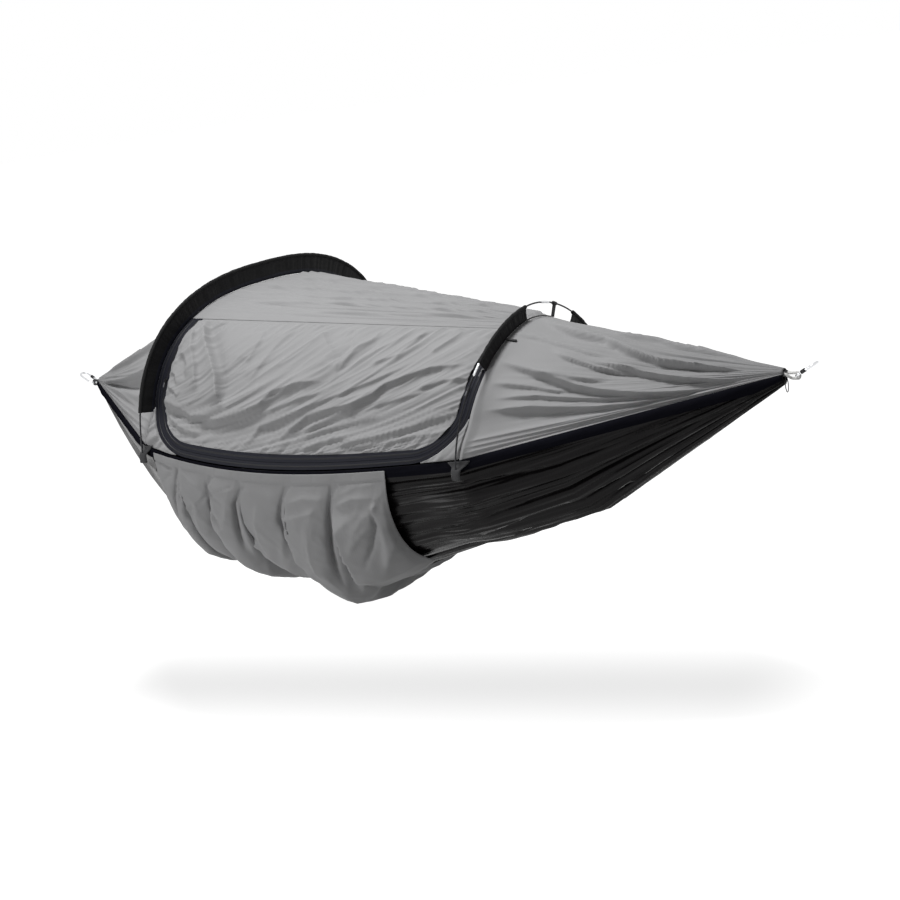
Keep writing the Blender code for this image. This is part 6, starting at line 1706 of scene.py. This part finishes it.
class TENT_OT_carabiners(bpy.types.Operator):
    """Makes the two carabiners: bow, gate on its pin, and knurled locking sleeve"""
    bl_idname = "tent.carabiners"
    bl_label = "Carabiners"

    # How thick the cheeks beside the gate's tongue are, and how round they and the tongue
    CHEEK, CHEEK_EDGE, STUB = 0.0018, 0.0006, 0.0002
    # The locking sleeve's flutes, the steps of each, the depth of lands and grooves, and the collars' widths
    FLUTES, FLUTE_STEPS, LAND_DEEP, GROOVE_DEEP = 18, 4, 0.0002, 0.0006
    COLLAR, COLLAR_EDGE, COLLAR_TO_FLUTES = 0.0016, 0.0006, 0.0022

    def execute(self, context):
        looks = looks_of(context)
        rod = CARABINER_ROD / 2
        for prefix, end, outwards in (("head", HEAD_END, -1.0), ("foot", FOOT_END, 1.0)):
            pull, rise = pull_and_rise(outwards)
            side = rise.cross(pull).normalized()
            bow = (CARABINER_WIDTH - CARABINER_ROD) / 2
            half = (BOW_LENGTH - 2 * bow) / 2
            middle = end - pull * (ROPE + LINK_GAP + rod) + pull * (bow + half)

            def at(along, across):
                return middle + pull * along + side * across

            nose, hinge = at(half - GATE_PIN, -bow), at(-half + rod, -bow)
            line = [nose, at(half - GATE_PIN / 2, -bow), at(half, -bow)]
            line += [at(half + bow * math.sin(t), -bow * math.cos(t)) for t in spread(0, math.pi, 26)[1:]]
            line += [at(-half - bow * math.sin(t), bow * math.cos(t)) for t in spread(0, math.pi, 26)]
            line.append(at(-half + self.STUB, -bow))
            pieces = [tube("bar", line, rod, 20, [looks["alloy"]], up=rise)]
            for sign in (-1, 1):
                spot = frame_of(hinge + rise * (sign * (GATE_SLOT + self.CHEEK) / 2), pull, rise)
                size, back = (2 * rod, 2 * rod, self.CHEEK), (-rod / 2, 0, 0)
                pieces.append(rounded_block("cheek", size, spot, back, looks["alloy"], self.CHEEK_EDGE))
            body = joined(f"{prefix}_carabiner_bow", pieces)
            settle(body, f"{prefix}_carabiner_body", [f"{prefix}_carabiner"])
            start, stop = hinge + pull * (rod + GATE_GAP), nose - pull * (GATE_GAP + 0.4 * rod)
            line = [blend(start, stop, share) for share in spread(0.06, 1, 6)]
            arm = tube("arm", line, rod * 0.97, 20, [looks["alloy"]], up=rise)
            reach = (start - hinge).length + rod
            spot = frame_of(hinge + pull * (reach / 2 - 0.001), pull, rise)
            size = (reach, 2 * GATE_PIN, GATE_TONGUE)
            tongue = rounded_block("tongue", size, spot, (0, 0, 0), looks["alloy"], self.CHEEK_EDGE)
            gate = joined(f"{prefix}_gate_bar", [arm, tongue])
            settle(gate, f"{prefix}_gate_arm", [f"{prefix}_gate"])
            line = [hinge + rise * (rod * share) for share in (-0.9, 0.0, 0.9)]
            pin = tube(f"{prefix}_hinge_pin", line, GATE_PIN / 2, 14, [looks["pin"]], up=pull)
            settle(pin, f"{prefix}_carabiner_body", [f"{prefix}_gate_pin"])
            self.lock(looks, prefix, start + pull * GATE_GAP, pull, side, rise)
        return {"FINISHED"}

    def lock(self, looks, prefix, start, pull, side, rise):
        """The sleeve: knurled in straight flutes, with a plain collar at both ends."""
        bore, outer = LOCK_SLEEVE_BORE / 2, LOCK_SLEEVE_OUTER / 2
        half = [(0.0, bore), (0.0, outer - self.COLLAR_EDGE), (self.COLLAR_EDGE, outer), (self.COLLAR, outer),
                (self.COLLAR_TO_FLUTES, None)]
        places = half + [(LOCK_SLEEVE_LENGTH - along, radius) for along, radius in reversed(half)]
        count = self.FLUTES * self.FLUTE_STEPS
        vertices = []
        for along, radius in places:
            for k in range(count):
                turn = 2 * math.pi * k / count
                fluted = outer - (self.GROOVE_DEEP if k % self.FLUTE_STEPS in (0, 1) else self.LAND_DEEP)
                out = (side * math.cos(turn) + rise * math.sin(turn)) * (radius or fluted)
                vertices.append(start + pull * along + out)
        faces = grid_faces(len(places), count, True, True)
        obj = new_object(f"{prefix}_screw_lock", vertices, faces, [looks["lock"]])
        tidy_normals(obj)
        settle(obj, f"{prefix}_lock", [f"{prefix}_lock_sleeve"])


# The stage
class TENT_OT_stage(bpy.types.Operator):
    """Lays the white floor and sets the lamps and the camera"""
    bl_idname = "tent.stage"
    bl_label = "Stage"

    FLOOR_HALF = 60.0
    # The lamps' widths, places and aims
    TOP_LAMP = (0.9, (1.6, -0.6, 3.1), (1.5, 0.0, -0.3))
    FRONT_LAMP = (1.5, (0.0, -4.0, 0.0), (1.4, 0.0, -0.3))
    # The camera's lens, where it looks, from how far, and the ways to its right and back
    LENS, SENSOR, CLIP_END = 69.03, 36.0, 200.0
    LOOKS_AT, AWAY = Vector((1.6385, 0.0, -0.2579)), 5.311
    RIGHT, BACK = Vector((0.7885, 0.5958, -0.1525)), Vector((0.6148, -0.7565, 0.2233))
    # The line under the tent round which the floor's own white is painted dimmer, so that the tent's real
    # shadow shows there: its middle, turn and half length, and then its reach
    SHADOW_MIDDLE, SHADOW_TURN, SHADOW_HALF, SHADOW_REACH = (1.45, -0.09, 0), math.radians(15.2), 1.0, 0.44

    def execute(self, context):
        stage, half = context.scene.tent_stage, self.FLOOR_HALF
        corners = [(x * half, y * half, -stage.floor_drop) for x, y in ((-1, -1), (1, -1), (1, 1), (-1, 1))]
        paint = material("painted_floor_white", self.floor_paint, stage.white)
        new_object("floor", corners, [(0, 1, 2, 3)], [paint])
        self.room(context, stage.sky)
        self.lamp(context, "top_lamp", stage.top, *self.TOP_LAMP)
        self.lamp(context, "front_lamp", stage.front, *self.FRONT_LAMP)
        camera = bpy.data.cameras.new("camera")
        camera.lens, camera.sensor_width, camera.clip_end = self.LENS, self.SENSOR, self.CLIP_END
        holder = bpy.data.objects.new("camera", camera)
        context.scene.collection.objects.link(holder)
        back = self.BACK.normalized()
        up = back.cross(self.RIGHT.normalized()).normalized()
        turn = Matrix((up.cross(back), up, back)).transposed().to_4x4()
        holder.matrix_world = Matrix.Translation(self.LOOKS_AT + back * self.AWAY) @ turn
        context.scene.camera = holder
        context.scene.view_settings.view_transform = "Standard"
        return {"FINISHED"}

    def shown(self, tree):
        """1 where the camera looks, straight or by a mirror or a pane, and 0 for the light that bounces."""
        path = add(tree, "LightPath").outputs
        seen = add(tree, "Math", {0: path["Is Camera Ray"], 1: path["Is Glossy Ray"]}, operation="MAXIMUM")
        return add(tree, "Math", {0: seen, 1: path["Is Transmission Ray"]}, operation="MAXIMUM")

    def floor_paint(self, tree, white):
        """White painted floor: its own white, painted dimmer in a band under the tent, and the tent's real
        soft shadow, which shows in that band and fades away from the tent.
        """
        place = add(tree, "NewGeometry").outputs["Position"]
        # Metres from the line under the tent: only round it is the floor's own white painted dimmer, so only
        # there does the tent's real shadow show
        laid = add(tree, "Mapping", {"Vector": place, "Location": self.SHADOW_MIDDLE,
                                     "Rotation": (0, 0, self.SHADOW_TURN)}, vector_type="TEXTURE")
        parts = add(tree, "SeparateXYZ", {0: laid}).outputs
        along = add(tree, "Math", {0: parts["X"]}, operation="ABSOLUTE")
        past = add(tree, "Math", {0: along, 1: self.SHADOW_HALF}, operation="SUBTRACT")
        past = add(tree, "Math", {0: past, 1: 0.0}, operation="MAXIMUM")
        offset = add(tree, "CombineXYZ", {"X": past, "Y": parts["Y"]})
        away = add(tree, "VectorMath", {0: offset}, operation="LENGTH").outputs["Value"]
        # Painted shade: the floor's own glow is dimmed near the line, down to the share that white gives, and
        # rises to full white at the reach; the shadow's darkening is the real one, taken by the lit diffuse
        # coat added below
        own = add(tree, "MapRange", {"Value": away, "From Min": 0.0, "From Max": self.SHADOW_REACH,
                                     "To Min": white, "To Max": 1.0}, interpolation_type="SMOOTHSTEP")
        glow = add(tree, "Emission", {"Color": (1, 1, 1, 1), "Strength": own})
        thin = add(tree, "BsdfDiffuse", {"Color": (0.42, 0.42, 0.42, 1)})
        both = add(tree, "AddShader", {0: glow, 1: thin})
        paint = add(tree, "BsdfDiffuse", {"Color": linear("#c8c8c8")})
        return add(tree, "MixShader", {0: self.shown(tree), 1: paint, 2: both})

    def room(self, context, sky):
        """A white room round the tent: the camera sees it as white, and its light is much weaker."""
        world = bpy.data.worlds.new("white_room")
        context.scene.world = world
        world.use_nodes = True
        tree = world.node_tree
        tree.nodes.clear()
        strength = add(tree, "MapRange", {"Value": self.shown(tree), "To Min": sky, "To Max": 1.0})
        room = add(tree, "Background", {"Color": (1, 1, 1, 1), "Strength": strength})
        add(tree, "OutputWorld", {"Surface": room})

    def lamp(self, context, name, power, size, place, aim):
        data = bpy.data.lights.new(name, "AREA")
        data.energy, data.shape, data.size = power, "DISK", size
        obj = bpy.data.objects.new(name, data)
        context.scene.collection.objects.link(obj)
        obj.location = place
        obj.rotation_euler = (Vector(place) - Vector(aim)).to_track_quat("Z", "Y").to_euler()


OPERATORS = (
    TENT_OT_hammock, TENT_OT_hem_bands, TENT_OT_end_covers, TENT_OT_roof_and_wall, TENT_OT_zips,
    TENT_OT_gussets, TENT_OT_door, TENT_OT_net, TENT_OT_pouch, TENT_OT_poles, TENT_OT_sleeves,
    TENT_OT_pockets, TENT_OT_ridge_trim, TENT_OT_sliders, TENT_OT_rope_ends, TENT_OT_carabiners,
    TENT_OT_stage,
)


class TENT_PT_panel(bpy.types.Panel):
    """Lists the tent's sizes, colours and steps"""
    bl_idname = "TENT_PT_panel"
    bl_label = "Hammock tent"
    bl_space_type = "VIEW_3D"
    bl_region_type = "UI"
    bl_category = "Hammock tent"

    def draw(self, context):
        for group in (context.scene.tent_sizes, context.scene.tent_colours, context.scene.tent_stage):
            box = self.layout.box()
            for key in group.__annotations__:
                box.prop(group, key)
        for operator in OPERATORS:
            self.layout.operator(operator.bl_idname)


CLASSES = (TentSizes, TentColours, TentStage, *OPERATORS, TENT_PT_panel)


def register():
    for kind in CLASSES:
        bpy.utils.register_class(kind)
    bpy.types.Scene.tent_sizes = PointerProperty(type=TentSizes)
    bpy.types.Scene.tent_colours = PointerProperty(type=TentColours)
    bpy.types.Scene.tent_stage = PointerProperty(type=TentStage)


def unregister():
    del bpy.types.Scene.tent_sizes, bpy.types.Scene.tent_colours, bpy.types.Scene.tent_stage
    for kind in reversed(CLASSES):
        bpy.utils.unregister_class(kind)


def main():
    register()
    tent = bpy.ops.tent
    for step in (
        tent.hammock, tent.hem_bands, tent.end_covers, tent.roof_and_wall, tent.zips, tent.gussets,
        tent.door, tent.net, tent.pouch, tent.poles, tent.sleeves, tent.pockets, tent.ridge_trim,
        tent.sliders, tent.rope_ends, tent.carabiners, tent.stage,
    ):
        step()


if __name__ == "__main__":
    main()
